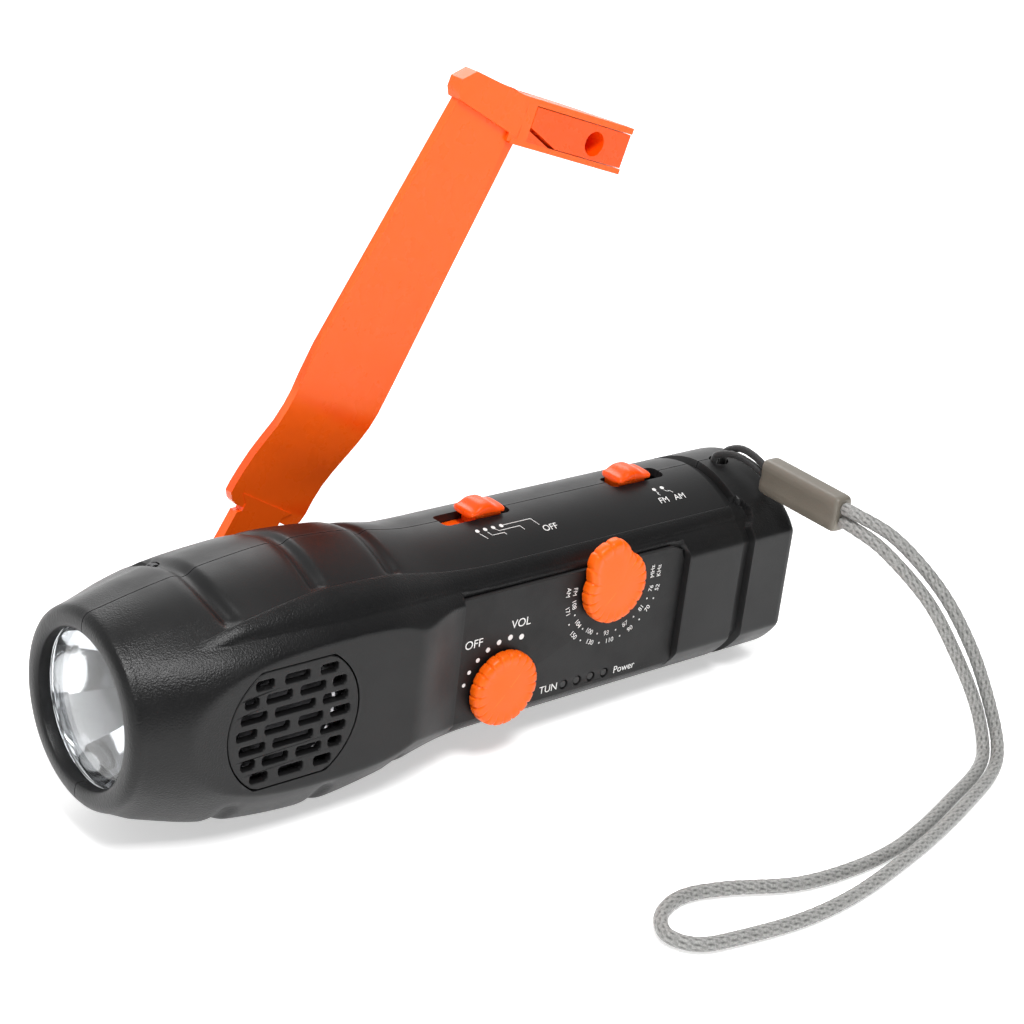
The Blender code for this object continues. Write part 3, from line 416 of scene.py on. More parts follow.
def board_material():
    material, tree, shader = nodes_of("board_green")
    lines = tree.nodes.new("ShaderNodeTexBrick")
    lines.inputs["Scale"].default_value = 240.0
    lines.inputs["Color1"].default_value = (0.012, 0.13, 0.045, 1.0)
    lines.inputs["Color2"].default_value = (0.016, 0.16, 0.055, 1.0)
    lines.inputs["Mortar"].default_value = (0.03, 0.25, 0.09, 1.0)
    tree.links.new(object_coordinates(tree), lines.inputs["Vector"])
    tree.links.new(lines.outputs["Color"], shader.inputs["Base Color"])
    stain = noise_node(tree, 140.0, 4.0)
    tree.links.new(range_node(tree, stain, 0.3, 0.7, 0.25, 0.5), shader.inputs["Roughness"])
    return material


def print_material():
    """White pad-printed ink, slightly uneven."""
    material, tree, shader = nodes_of("print_white")
    patch = noise_node(tree, 1500.0, 3.0)
    tree.links.new(mix_colour(tree, patch, (0.74, 0.74, 0.73), (0.9, 0.9, 0.89)),
                   shader.inputs["Base Color"])
    tree.links.new(range_node(tree, patch, 0.3, 0.7, 0.45, 0.65), shader.inputs["Roughness"])
    return material


HOUSING = housing_plastic()
PANEL = plastic("panel_black", (0.005, 0.005, 0.0052), (0.0075, 0.0075, 0.0078), 0.5, 2600.0, 0.00004,
                specular=0.3)
GRILLE = plastic("grille_black", (0.006, 0.006, 0.0063), (0.009, 0.009, 0.0093), 0.45, 2400.0, 0.00006,
                 specular=0.32)
ORANGE = plastic("orange_gloss", (0.96, 0.075, 0.0008), (1.0, 0.092, 0.0012), 0.28, 900.0, 0.00003,
                 spread=0.05, specular=0.3, subsurface=0.05)
ORANGE_KNOB = plastic("orange_knob", (0.97, 0.12, 0.0015), (1.0, 0.14, 0.002), 0.36, 1200.0, 0.00005,
                      specular=0.3, subsurface=0.05)
SLEEVE = plastic("sleeve_grey", (0.14, 0.125, 0.10), (0.175, 0.158, 0.13), 0.42, 1500.0, 0.00008, spread=0.08)
RUBBER = plastic("seal_rubber", (0.02, 0.02, 0.02), (0.03, 0.03, 0.03), 0.75, 1800.0, 0.0001)
IVORY = plastic("gear_ivory", (0.72, 0.69, 0.6), (0.8, 0.77, 0.68), 0.4, 1500.0, 0.00005)
CONE = plastic("cone_grey", (0.045, 0.045, 0.05), (0.07, 0.07, 0.075), 0.8, 900.0, 0.0003)
CELL = plastic("cell_green", (0.05, 0.19, 0.08), (0.07, 0.24, 0.1), 0.35, 800.0, 0.00004)
STEEL = metal("steel", (0.62, 0.62, 0.64), 0.3)
BLACK_STEEL = metal("black_steel", (0.06, 0.06, 0.062), 0.4)
BRASS = metal("brass", (0.8, 0.6, 0.28), 0.3)
COPPER = metal("copper_wire", (0.85, 0.42, 0.22), 0.32, 3000.0, 0.0001)
FERRITE = plastic("ferrite", (0.035, 0.035, 0.04), (0.06, 0.06, 0.065), 0.6, 700.0, 0.0002)
CLEAR = clear_plastic()
CHROME = mirror_coat()
BOARD = board_material()
PRINT = print_material()
# Each cord's first colour is painted shade in the braid's hollows, and its second a painted highlight on the
# crests.
BRAID = braid_material("cord_braid", (0.05, 0.05, 0.05), (0.40, 0.40, 0.385), 0.5)
BLACK_BRAID = braid_material("loop_braid", (0.003, 0.003, 0.003), (0.014, 0.014, 0.0145), 0.6)


# ---- lanyard


def smooth_route(points, spacing):
    """Evenly spaced points on a smooth curve through the given ones."""
    fine = []
    for k in range(len(points) - 1):
        p = [Vector(points[min(max(k + j, 0), len(points) - 1)]) for j in (-1, 0, 1, 2)]
        for step in range(40):
            t = step / 40
            fine.append(0.5 * (2 * p[1] + (p[2] - p[0]) * t + (2 * p[0] - 5 * p[1] + 4 * p[2] - p[3]) * t * t
                               + (3 * p[1] - p[0] - 3 * p[2] + p[3]) * t**3))
    fine.append(Vector(points[-1]))
    placed, last, carried = [fine[0]], fine[0], 0.0
    for point in fine[1:]:
        carried += (point - last).length
        last = point
        if carried >= spacing:
            placed.append(point)
            carried -= spacing
    return placed + [fine[-1]]


def braided_tube(name, path, radius, carriers, pitch, depth, material, sides=20):
    """A cord's tube with a braid of two crossing sets of strands, whose crests are kept as an attribute that
    the material uses to paint shade in the hollows and a highlight on the crests.
    """
    bm = bmesh.new()
    crest_shading = bm.verts.layers.float.new("crest_shading")
    normal = Vector((0.31, 0.17, 0.93))
    rings, crests, gone = [], [], 0.0
    for k, point in enumerate(path):
        tangent = (path[min(k + 1, len(path) - 1)] - path[max(k - 1, 0)]).normalized()
        normal = (normal - tangent * normal.dot(tangent)).normalized()
        side = tangent.cross(normal)
        gone += (point - path[k - 1]).length if k else 0.0
        ring, heights = [], []
        for j in range(sides):
            turn = 2 * math.pi * j / sides
            wave = math.sin(carriers * turn + 2 * math.pi * gone / pitch)
            cross = math.sin(carriers * turn - 2 * math.pi * gone / pitch)
            height = max(abs(wave), abs(cross)) ** 1.5
            edge = 0.0 if 0 < k < len(path) - 1 else 0.12
            at_radius = radius * (1 - edge) - depth * (1 - height)
            ring.append(point + at_radius * (math.cos(turn) * normal + math.sin(turn) * side))
            heights.append(height)
        rings.append(ring)
        crests.append(heights)
    for row, heights in zip(ring_surface(bm, rings), crests):
        for vert, height in zip(row, heights):
            vert[crest_shading] = height
    return make_object(name, bm, material, None, 60.0)


CORD_ROUTE = [
    (183.8, -40.95, 23.5), (184.0, -44.4, 23.3), (187.2, -52.6, 19.8), (192.6, -64.0, 10.2),
    (196.6, -72.6, -1.8), (198.9, -79.2, -12.6), (197.4, -84.6, -20.8), (190.4, -89.0, -22.9),
    (176.0, -94.0, -23.4), (160.0, -99.0, -23.9), (146.0, -102.0, -24.3), (132.0, -102.2, -24.7),
    (118.0, -99.8, -25.1), (104.0, -93.0, -25.5), (94.0, -90.0, -25.9), (85.6, -92.4, -26.1),
    (81.2, -98.6, -26.2), (84.4, -104.8, -26.1), (94.0, -107.8, -25.8), (110.0, -110.2, -25.4),
    (126.0, -109.8, -24.9), (144.0, -106.6, -24.3), (162.0, -102.2, -23.8), (178.0, -97.2, -23.3),
    (193.0, -91.6, -22.7), (200.4, -86.4, -20.0), (202.0, -80.4, -11.6), (200.2, -73.4, 0.4),
    (196.0, -64.6, 12.6), (190.0, -53.4, 22.6), (184.2, -44.4, 26.8), (183.8, -40.95, 27.0),
]
LOOP_BEND = [(180.0 + 1.6 * math.cos(math.radians(a)), -1.3, 20.6 + 1.6 * math.sin(math.radians(a)))
             for a in range(0, -181, -30)]
LOOP_ROUTE = [
    (183.4, -14.8, 27.1), (183.2, -10.4, 28.8), (182.7, -5.9, 29.3), (181.8, -2.2, 27.6), (181.6, -1.3, 25.0),
    *LOOP_BEND,
    (178.4, -1.3, 25.2), (178.8, -2.2, 27.0), (180.6, -5.6, 27.9), (182.2, -9.6, 27.1), (183.2, -12.6, 25.8),
    (183.4, -14.8, 24.9),
]
CORD_D = 3.2


def make_clamp():
    """The sleeve that grips the two ends: a flat tube with a seam channel along its sides."""
    start, end = Vector((183.4, -15.1, 26.0)), Vector((183.8, -40.6, 25.2))
    axis = (end - start).normalized()
    side = axis.cross(Vector((0, 0, 1))).normalized()
    top = side.cross(axis)
    turn = Matrix((side, top, axis)).transposed().to_4x4()
    turn.translation = start
    wide, tall, long = 2.9, 4.6, (end - start).length
    outline = []
    for k in range(64):
        angle = 2 * math.pi * k / 64
        c, s = math.cos(angle), math.sin(angle)
        a = wide * math.copysign(abs(c) ** 0.42, c)
        b = tall * math.copysign(abs(s) ** 0.42, s)
        dip = 0.7 * math.exp(-((b - 0.3) / 0.42) ** 2) if abs(c) > 0.4 else 0.0
        outline.append((a - math.copysign(dip, a), b))
    rings = []
    for h, shrink in ((0, 0.84), (0.25, 0.93), (0.8, 0.985), (1.8, 1.0), (long * 0.5, 1.0), (long - 1.8, 1.0),
                      (long - 0.8, 0.985), (long - 0.25, 0.93), (long, 0.84)):
        rings.append([turn @ Vector((a * shrink, b * shrink, h)) for a, b in outline])
    bm = bmesh.new()
    ring_surface(bm, rings)
    return make_object("lanyard_sleeve", bm, SLEEVE, "radio", 40.0)


clamp = make_clamp()
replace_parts(clamp, "lanyard_clamp")
loop_path = smooth_route(LOOP_ROUTE, 0.35)
loop = braided_tube("lanyard_thread", loop_path, 0.95, 3, 3.2, 0.10, BLACK_BRAID, 16)
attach(loop, "radio")
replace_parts(loop, "lanyard_loop")
cord_path = smooth_route(CORD_ROUTE, 0.5)
cord = braided_tube("lanyard_braid", cord_path, CORD_D / 2, 4, 5.2, 0.17, BRAID, 24)
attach(cord, "radio")
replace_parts(cord, "lanyard_cord")
route_points = [at(*p) for p in smooth_route(CORD_ROUTE, 5.0)]


# ---- housing

HEAD_FLAT, TAIL_FLAT, CRANK_FLAT, PANEL_SEAT = 26.0, 23.0, 19.5, 19.9
PANEL_LEFT, PANEL_RIGHT = 83.2, 152.3
HEAD_GROOVES = (23.0, 47.0, 68.0)
NOSE_X, TAIL_X, END_X = -1.1, 187.2, 189.5
SEAM_GAP = 0.12
FLAT_R = 24.0

# The section's radius by X, at the top seam, the upper corner, the lower corner and the bottom seam.
BEZEL_R = [(NOSE_X, 21.3), (-0.7, 21.9), (0, 22.5)]
TOP_R = BEZEL_R + [(2, 23.0), (14.6, 25.6), (30.6, 28.1), (46, 29.4), (63, 28.5), (72, 26.9), (80.4, 25.5),
                   (88, 25.2), (100, 25.2), (187, 25.2)]
CORNER_R = BEZEL_R + [(2, 23.1), (8, 25.3), (14.6, 27.6), (22, 29.4), (32, 30.6), (46, 31.0), (62, 30.6),
                      (72, 28.9), (82, 27.2), (92, 26.5), (187, 26.4)]
LOW_R = BEZEL_R + [(2, 23.4), (6, 25.4), (22, 30.0), (47, 32.2), (66, 30.0), (75, 28.2), (84, 26.9),
                   (95, 26.4), (187, 26.2)]
BOTTOM_R = BEZEL_R + [(2, 23.1), (14.6, 26.4), (30, 28.9), (46, 30.0), (63, 28.8), (80, 25.6), (90, 25.1),
                      (187, 25.0)]


def section(x):
    """The rounded section at x, as (degrees from the top seam, radius) points."""
    top, corner = smooth_value(TOP_R, x), smooth_value(CORNER_R, x)
    return [(0, top), (32, top * 0.992), (58, corner), (122, corner), (150, smooth_value(LOW_R, x)),
            (180, smooth_value(BOTTOM_R, x))]


def rib_edges(x):
    """Where the long rib along the shoulder starts and ends, in degrees from the top seam."""
    start, end = 33.0 + 5.0 * ramp(x, 62, 98), 49.5 - 2.5 * ramp(x, 62, 98)
    middle, half = (start + end) / 2 + 2.6 * (1 - ramp(x, 14, 46)), (end - start) / 2
    grow = math.sqrt(max(0.0, min(1.0, (x - 14.5) / 34.0)))
    return middle - half * grow, middle + half * grow


def rib_height(x, degrees):
    """A rounded ridge: a sharp step at its upper edge, a full middle and a soft fall to the strip below."""
    start, end = rib_edges(x)
    if x < 14.6 or degrees <= start or degrees >= end or x > 172:
        return 0.0
    across = (degrees - start) / (end - start)
    height = (1.7 - 0.8 * ramp(x, 62, 98)) * ramp(x, 14.6, 26)
    return height * min(1.0, across / 0.10) ** 0.7 * max(0.0, 1 - across**2.4)


def groove(x, degrees, side):
    """The thumb grooves over the head, which run down to the rib."""
    fade = 1.0
    if degrees > 90:
        fade = ramp(degrees, 124, 134)
    elif degrees < 90 and side < 0:
        fade = 1 - ramp(degrees, rib_edges(x)[0] - 2.5, rib_edges(x)[0])
    elif degrees < 90:
        fade = 1 - ramp(degrees, 44, 50)
    depth = 0.0
    for k, centre in enumerate(HEAD_GROOVES):
        lean = 2.2 * (degrees / 40) ** 2 if k == 0 and degrees < 60 else 0.0
        depth += 1.15 * math.exp(-(abs((x - centre - lean) / 1.9) ** 2.6))
    return depth * fade


def tail_groove(x, degrees, side):
    """The black band round the tail, with a scallop beside the near shoulder."""
    right_edge = 173.7
    if side < 0 and 33 < degrees < 52:
        right_edge += 2.6 * math.sin(math.pi * (degrees - 33) / 19) ** 0.7
    inside = ramp(x, 170.2, 170.5) * (1 - ramp(x, right_edge, right_edge + 0.35))
    return 1.7 * inside


def round_rect(x, z, left, right_side, low, high, corner):
    """Distance to a rectangle with one rounded corner, at the upper right."""
    dx, dz = max(left - x, x - right_side), max(low - z, z - high)
    if x > right_side - corner and z > high - corner:
        return math.hypot(x - right_side + corner, z - high + corner) - corner
    return max(dx, dz)


def flat_width(x, z, side):
    """How far the side's flat stands from the middle at (x, z)."""
    if side > 0:
        return HEAD_FLAT if x < 64 else HEAD_FLAT - (HEAD_FLAT - CRANK_FLAT) * ramp(x, 64, 86)
    outer = HEAD_FLAT if x < 68 else HEAD_FLAT - (HEAD_FLAT - 22.4) * ramp(x, 68, 83)
    if x > 86:
        outer = TAIL_FLAT
    inside = ramp(round_rect(x, z, PANEL_LEFT, PANEL_RIGHT, -40, 17.2, 5.0), 0.0, -0.7)
    return outer - (outer - PANEL_SEAT) * inside


def soft_min(a, b, soft):
    """The lesser of two lengths, with a rounded corner."""
    near = min(a, b)
    if abs((b - a) / soft) > 6:
        return near
    return near - soft * math.log(math.exp((near - a) / soft) + math.exp((near - b) / soft))


def housing_radius(x, degrees, side):
    """The outer surface's distance from the axis: the rounded section, cut off by the side's flat."""
    radius = smooth_value(section(x), degrees) - groove(x, degrees, side)
    if side < 0:
        radius += rib_height(x, degrees)
    sine = math.sin(math.radians(degrees))
    if sine > 0.2:
        width = flat_width(x, FLAT_R * math.cos(math.radians(degrees)), side)
        radius = soft_min(radius, width / sine, 0.09)
    return radius - tail_groove(x, degrees, side)


def housing_point(x, degrees, side, shrink=1.0, push=0.0):
    """A point of the outer surface, which is flat where the torch stands on the floor."""
    radius = housing_radius(x, degrees, side) * shrink + push
    turn = math.radians(degrees)
    floor = -29.0 + (x - 45.0) * SLOPE
    return Vector((x, side * radius * math.sin(turn), max(radius * math.cos(turn), floor)))


def grain_at(x, degrees, side):
    """1 where the mould was spark-eroded: the nose, the rib and the strip under it, and along the belly."""
    start, end = rib_edges(x)
    nose = 1 - ramp(x, 15, 30) if 30 < degrees < 150 else (1 - ramp(x, 6, 14)) * 0.8
    if side > 0:
        return max(nose, 0.12)
    strip = ramp(degrees, start - 0.3, start + 0.6) * (1 - ramp(degrees, 56, 60))
    low = 0.75 * ramp(degrees, 124, 130)
    return max(nose, strip, low, 0.1)


def station_list():
    """The rings' places along the torch: closer together wherever an edge crosses them."""
    wide, fine = ((1.1, 0.32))
    dense = [(-1.5, 2), (20.6, 27.6), (44.2, 49.8), (65.2, 70.8), (81.8, 84.4), (150.8, 153.0),
             (169.6, 177.2), (186.8, TAIL_X)]
    xs, x = [], NOSE_X
    while x < TAIL_X:
        xs.append(x)
        x += fine if any(low <= x < high for low, high in dense) else wide
    return xs + [TAIL_X]


def degrees_at(x):
    """The angles of one ring's points: its grid follows the rib's edges, so the rib keeps a clean step."""
    start, end = rib_edges(max(x, 17.0))
    step = start + 0.12 * (end - start)
    knots = ((0.0, 16), (start - 0.6, 2), (start, 5), (step, 12), (end, 14), (63.0, 24), (116.0, 14),
             (130.0, 20), (180.0, 0))
    degrees = []
    for (low, count), (high, _) in zip(knots, knots[1:]):
        degrees += [low + (high - low) * k / count for k in range(count)]
    return degrees + [180.0]


def inner_point(x, degrees, side, shrink=1.0):
    """The inside of the wall: a plain surface clear of the rib, the grooves and the panel's recess."""
    radius = max(20.7, smooth_value(section(x), degrees) - 2.0)
    turn = math.radians(degrees)
    if math.sin(turn) > 0.2:
        width = flat_width(x, 0.0, side) - 1.6
        if side < 0:
            width = min(width, 24.0 - 5.7 * ramp(x, 74, 81) * (1 - ramp(x, 154, 161)))
        radius = min(radius, width / math.sin(turn))
    radius -= 1.7 * ramp(x, 164, 169.5) * (1 - ramp(x, 177.5, 182))
    radius *= shrink
    floor = -27.2 + (x - 45.0) * SLOPE
    return Vector((x, side * radius * math.sin(turn), max(radius * math.cos(turn), floor)))


# The lip as (x, radius) points from inside the bezel, and the tail's end as (x, share of the section) points.
LIP = ((3.2, 18.9), (2.2, 18.5), (2.0, 17.9), (-0.6, 17.7), (-0.95, 17.85), (-1.2, 18.3), (-1.35, 19.0),
       (-1.3, 20.4))
TAIL_END = ((187.9, 0.984), (188.5, 0.963), (189.0, 0.937), (189.35, 0.905), (END_X, 0.86), (END_X, 0.6),
            (END_X, 0.3))


def shell_half(name, side):
    """A half shell: the lip at the lens, the outer surface to the tail, and the inner surface back."""
    xs = station_list()
    bm = bmesh.new()
    grain = bm.verts.layers.float.new("grain")

    def row_of(source, point, roughness):
        row = []
        for d in degrees_at(source):
            p = point(d)
            if d in (0.0, 180.0):
                p.y = side * SEAM_GAP
            vert = bm.verts.new(p)
            vert[grain] = roughness(d)
            row.append(vert)
        return row

    def lip_point(x, radius):
        return lambda d: Vector((x, side * max(radius * math.sin(math.radians(d)), SEAM_GAP),
                                 radius * math.cos(math.radians(d))))

    rows = [row_of(NOSE_X, lip_point(x, radius), lambda d: 0.9 if x < 0 else 0.1) for x, radius in LIP]
    rows += [row_of(x, lambda d: housing_point(x, d, side), lambda d: grain_at(x, d, side)) for x in xs]
    for x, shrink in TAIL_END:
        row = row_of(TAIL_X, lambda d: housing_point(TAIL_X, d, side, shrink), lambda d: 0.1)
        for vert in row:
            vert.co.x = x
        rows.append(row)
    hub = bm.verts.new((END_X, side * SEAM_GAP, 0))
    inner_hub = bm.verts.new((END_X - 2.0, side * SEAM_GAP, 0))
    front = [x for x in xs if x <= 3.0]
    back = [row_of(x, lambda d: inner_point(x, d, side), lambda d: 0.0) for x in xs if x > 3.0]
    for k, (x, shrink) in enumerate(TAIL_END):
        row = row_of(TAIL_X, lambda d: inner_point(TAIL_X, d, side, shrink), lambda d: 0.0)
        for vert in row:
            vert.co.x = TAIL_X + 0.04 * (k + 1)
        back.append(row)
    count = len(rows[0]) - 1

    def skin(a, b):
        for k in range(count):
            bm.faces.new((a[k], a[k + 1], b[k + 1], b[k]))

    for a, b in zip(rows, rows[1:]):
        skin(a, b)
    for a, b in zip(back, back[1:]):
        skin(b, a)
    skin(back[0], rows[0])
    for k in range(count):
        bm.faces.new((rows[-1][k], rows[-1][k + 1], hub))
        bm.faces.new((inner_hub, back[-1][k + 1], back[-1][k]))
    first = len(LIP) + len(front)
    for k in (0, count):
        outer, inner = [row[k] for row in rows], [row[k] for row in back]
        bm.faces.new(outer[:first + 1] + [inner[0]])
        for a, b, c, d in zip(outer[first:], outer[first + 1:], inner[1:], inner):
            bm.faces.new((a, b, c, d))
        bm.faces.new((outer[-1], hub, inner_hub, inner[-1]))
    bmesh.ops.recalc_face_normals(bm, faces=bm.faces)
    bmesh.ops.triangulate(bm, faces=[f for f in bm.faces if len(f.verts) > 4])
    if bm.calc_volume() < 0:
        bmesh.ops.reverse_faces(bm, faces=bm.faces)
    return make_object(name, bm, HOUSING, None, 38.0)


def disc_with_flats(radius, half_height, centre, sides=96):
    """A disc's outline, cut off level above and below."""
    points = []
    for k in range(sides):
        a, b = radius * math.cos(2 * math.pi * k / sides), radius * math.sin(2 * math.pi * k / sides)
        points.append((centre + a, max(-half_height, min(half_height, b))))
    cleaned = []
    for p in points:
        if not cleaned or math.dist(p, cleaned[-1]) > 1e-6:
            cleaned.append(p)
    return cleaned


def rounded_box_outline(x0, x1, z0, z1, corner, steps=5):
    """A rectangle's outline with round corners."""
    points = []
    for cx, cz, first in ((x1 - corner, z1 - corner, 0), (x0 + corner, z1 - corner, 90),
                          (x0 + corner, z0 + corner, 180), (x1 - corner, z0 + corner, 270)):
        for k in range(steps + 1):
            turn = math.radians(first + 90 * k / steps)
            points.append((cx + corner * math.cos(turn), cz + corner * math.sin(turn)))
    return points


VOLUME_AT, TUNING_AT = (96.5, -8.3), (127.6, 10.9)
MODE_SLOT, BAND_SLOT, SLOT_HALF = (91.3, 111.1), (142.8, 160.2), 2.9
SCREWS = ((24.0, 20.5), (24.0, -20.5), (164.0, 16.0), (164.0, -14.0))
SCREW_R, HEAD_SCREW_DEPTH, TAIL_SCREW_DEPTH = 2.6, 12.6, 15.0
GRILLE_R, GRILLE_HALF, GRILLE_X = 17.0, 14.3, 35.7
LANYARD_X, LANYARD_Y, LANYARD_R = 180.0, -1.3, 2.5
CRANK_X, CRANK_R, SHAFT_R = 48, 5.9, 2.3


def common_cuts(bm):
    """The openings that lie on the seam: the two switches' slots and the lanyard's hole."""
    for start, end in (MODE_SLOT, BAND_SLOT):
        prism(bm, rounded_box_outline(start, end, -SLOT_HALF, SLOT_HALF, 1.6), 20.5, 30.0)
    rod_mesh(bm, (LANYARD_X, LANYARD_Y, 20), (LANYARD_X, LANYARD_Y, 30), LANYARD_R, 40)


def make_shells():
    near = shell_half("shell_control_side", -1)
    bm = bmesh.new()
    common_cuts(bm)
    prism(bm, disc_with_flats(GRILLE_R, GRILLE_HALF, GRILLE_X), -30, -22, XZ)
    for x, z in (VOLUME_AT, TUNING_AT):
        rod_mesh(bm, (x, -24, z), (x, -17, z), SHAFT_R, 32)
    cut(near, bm)
    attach(near, "radio")
    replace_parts(near, "housing_control_side")
    far = shell_half("shell_crank_side", 1)
    bm = bmesh.new()
    common_cuts(bm)
    rod_mesh(bm, (CRANK_X, 21, 0), (CRANK_X, 30, 0), CRANK_R, 48)
    for x, z in SCREWS:
        depth = HEAD_SCREW_DEPTH if x < CRANK_X else TAIL_SCREW_DEPTH
        rod_mesh(bm, (x, depth, z), (x, 30, z), SCREW_R, 32)
    cut(far, bm)
    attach(far, "radio")
    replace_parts(far, "housing_crank_side")
    for obj in (near, far):
        obj.data.set_sharp_from_angle(angle=math.radians(38))


make_shells()


CAP_LEVELS = ((3.4, 0.0), (4.3, 0.0), (4.35, 0.35), (4.1, 0.62), (3.3, 0.7), (3.1, 0.45), (0.9, 0.42))


def make_charge_cap():
    """The rubber cap over the charging socket, with its finger lip."""
    bm = bmesh.new()
    rings = []
    for radius, height in CAP_LEVELS:
        rings.append([Vector((189.4 + height, radius * math.cos(2 * math.pi * k / 64),
                              -8 + radius * math.sin(2 * math.pi * k / 64))) for k in range(64)])
    ring_surface(bm, rings)
    tab = box_mesh(bm, (189.4, -1.6, -14.0), (190.0, 1.6, -11.6))
    bmesh.ops.bevel(bm, geom=[e for e in bm.edges if all(v in tab for v in e.verts)], offset=0.25, segments=2,
                    affect="EDGES")
    cap = make_object("charge_cap", bm, RUBBER, "radio", 40.0)
    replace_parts(cap, "charge_socket")


make_charge_cap()


# ---- knobs


KNOB_R, KNOB_BACK = 9.25, -21.9
FLUTES, FLUTE_DEPTH, NOTCH_DEPTH = 20, 0.34, 0.16


def knob_radius(turn, lobe):
    """The rim of a knob: round, or with the tuning knob's lobe at its upper left."""
    away = math.degrees(math.acos(max(-1.0, min(1.0, math.cos(turn - math.radians(112))))))
    dip = 0.22 * ramp(away, 70, 55) * ramp(away, 38, 52) * min(1.0, lobe)
    return KNOB_R + lobe * ramp(away, 50, 14) - dip


# A knob's surface from its back to the middle of its face, as (height, inset from the rim) points.
KNOB_LEVELS = ((0.0, 0.35), (0.2, 0.12), (0.5, 0.0), (1.5, 0.0), (2.3, 0.15), (2.75, 0.55), (2.95, 1.1),
               (3.02, 1.6), (2.98, 2.1), (2.9, 2.5), (2.86, 3.2), (2.9, 4.5), (3.0, 6.5), (3.03, 8.0))


def make_knob(name, at_xz, lobe, body, node):
    """A low knob: a fluted rim, short notches over the shoulder, and a face that is dished and then domed."""
    x, z = at_xz
    bm = bmesh.new()
    steps = 360
    rings = []
    for height, inset in KNOB_LEVELS:
        ring = []
        for k in range(steps):
            turn = 2 * math.pi * k / steps
            cut_in = (0.5 + 0.5 * math.cos(FLUTES * turn)) ** 10
            rim = FLUTE_DEPTH * cut_in * (1 - ramp(inset, 1.0, 2.0))
            step_down = NOTCH_DEPTH * cut_in * ramp(height, 1.8, 2.7) * (1 - ramp(inset, 2.3, 2.7))
            radius = max(0.9, knob_radius(turn, lobe) - inset - rim)
            face = KNOB_BACK - height + step_down
            ring.append(Vector((x + radius * math.cos(turn), face, z + radius * math.sin(turn))))
        rings.append(ring)
    ring_surface(bm, rings)
    knob = make_object(name, bm, ORANGE_KNOB, body, 42.0)
    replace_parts(knob, node)


make_knob("knob_volume", VOLUME_AT, 0.0, "volume", "volume_knob")
make_knob("knob_tuning", TUNING_AT, 3.3, "tuning", "tuning_knob")


SLIDER_FOOT = 25.7


def make_slider(name, low_x, high_x, stem, body, node):
    """A slide switch's knob: a rounded block with a raised thumb ridge across its middle."""
    bm = bmesh.new()
    rings = []
    long = high_x - low_x
    count = 40
    for k in range(count + 1):
        t = k / count
        x = low_x + long * t
        end = min(1.0, min(t, 1 - t) / 0.085)
        round_end = math.sqrt(max(0.0, 1 - (1 - end) ** 2))
        top = 27.05 + 1.45 * math.exp(-((abs(t - 0.46) / 0.26) ** 3.2))
        top = 26.2 + (top - 26.2) * (0.25 + 0.75 * round_end)
        half = 3.55 * (0.72 + 0.28 * round_end)
        ring = []
        for j in range(24):
            turn = 2 * math.pi * (j + 0.5) / 24
            c, s = math.cos(turn), math.sin(turn)
            y = half * math.copysign(abs(c) ** 0.45, c)
            middle = (top + SLIDER_FOOT) / 2
            crown = 0.25 * (1 - (y / half) ** 2) if s > 0 else 0.0
            rise = (top - SLIDER_FOOT) / 2 * math.copysign(abs(s) ** 0.5, s)
            ring.append(Vector((x, y, middle + rise + crown - 0.1)))
        rings.append(ring)
    ring_surface(bm, rings)
    box_mesh(bm, (stem[0], -2.5, 22.0), (stem[1], 2.5, 26.5))
    knob = make_object(name, bm, ORANGE, body, 40.0)
    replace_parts(knob, node)


make_slider("slider_mode", 98.1, 108.6, (100.4, 108.0), "mode_slider", "mode_switch_knob")
make_slider("slider_band", 144.2, 154.8, (145.0, 153.5), "band_slider", "band_switch_knob")


def make_slot_floors():
    """The switches' sliding shutters, seen at the ends of their slots."""
    for name, low, high, looks, body in (
        ("shutter_mode", 92.0, 108.0, ORANGE, "mode_slider"),
        ("shutter_band", 143.4, 156.4, HOUSING, "band_slider"),
    ):
        bm = bmesh.new()
        prism(bm, rounded_box_outline(low, high, -3.7, 3.7, 0.6), 22.3, 22.7)
        make_object(name, bm, looks, body, 30.0)


make_slot_floors()


# ---- lamp


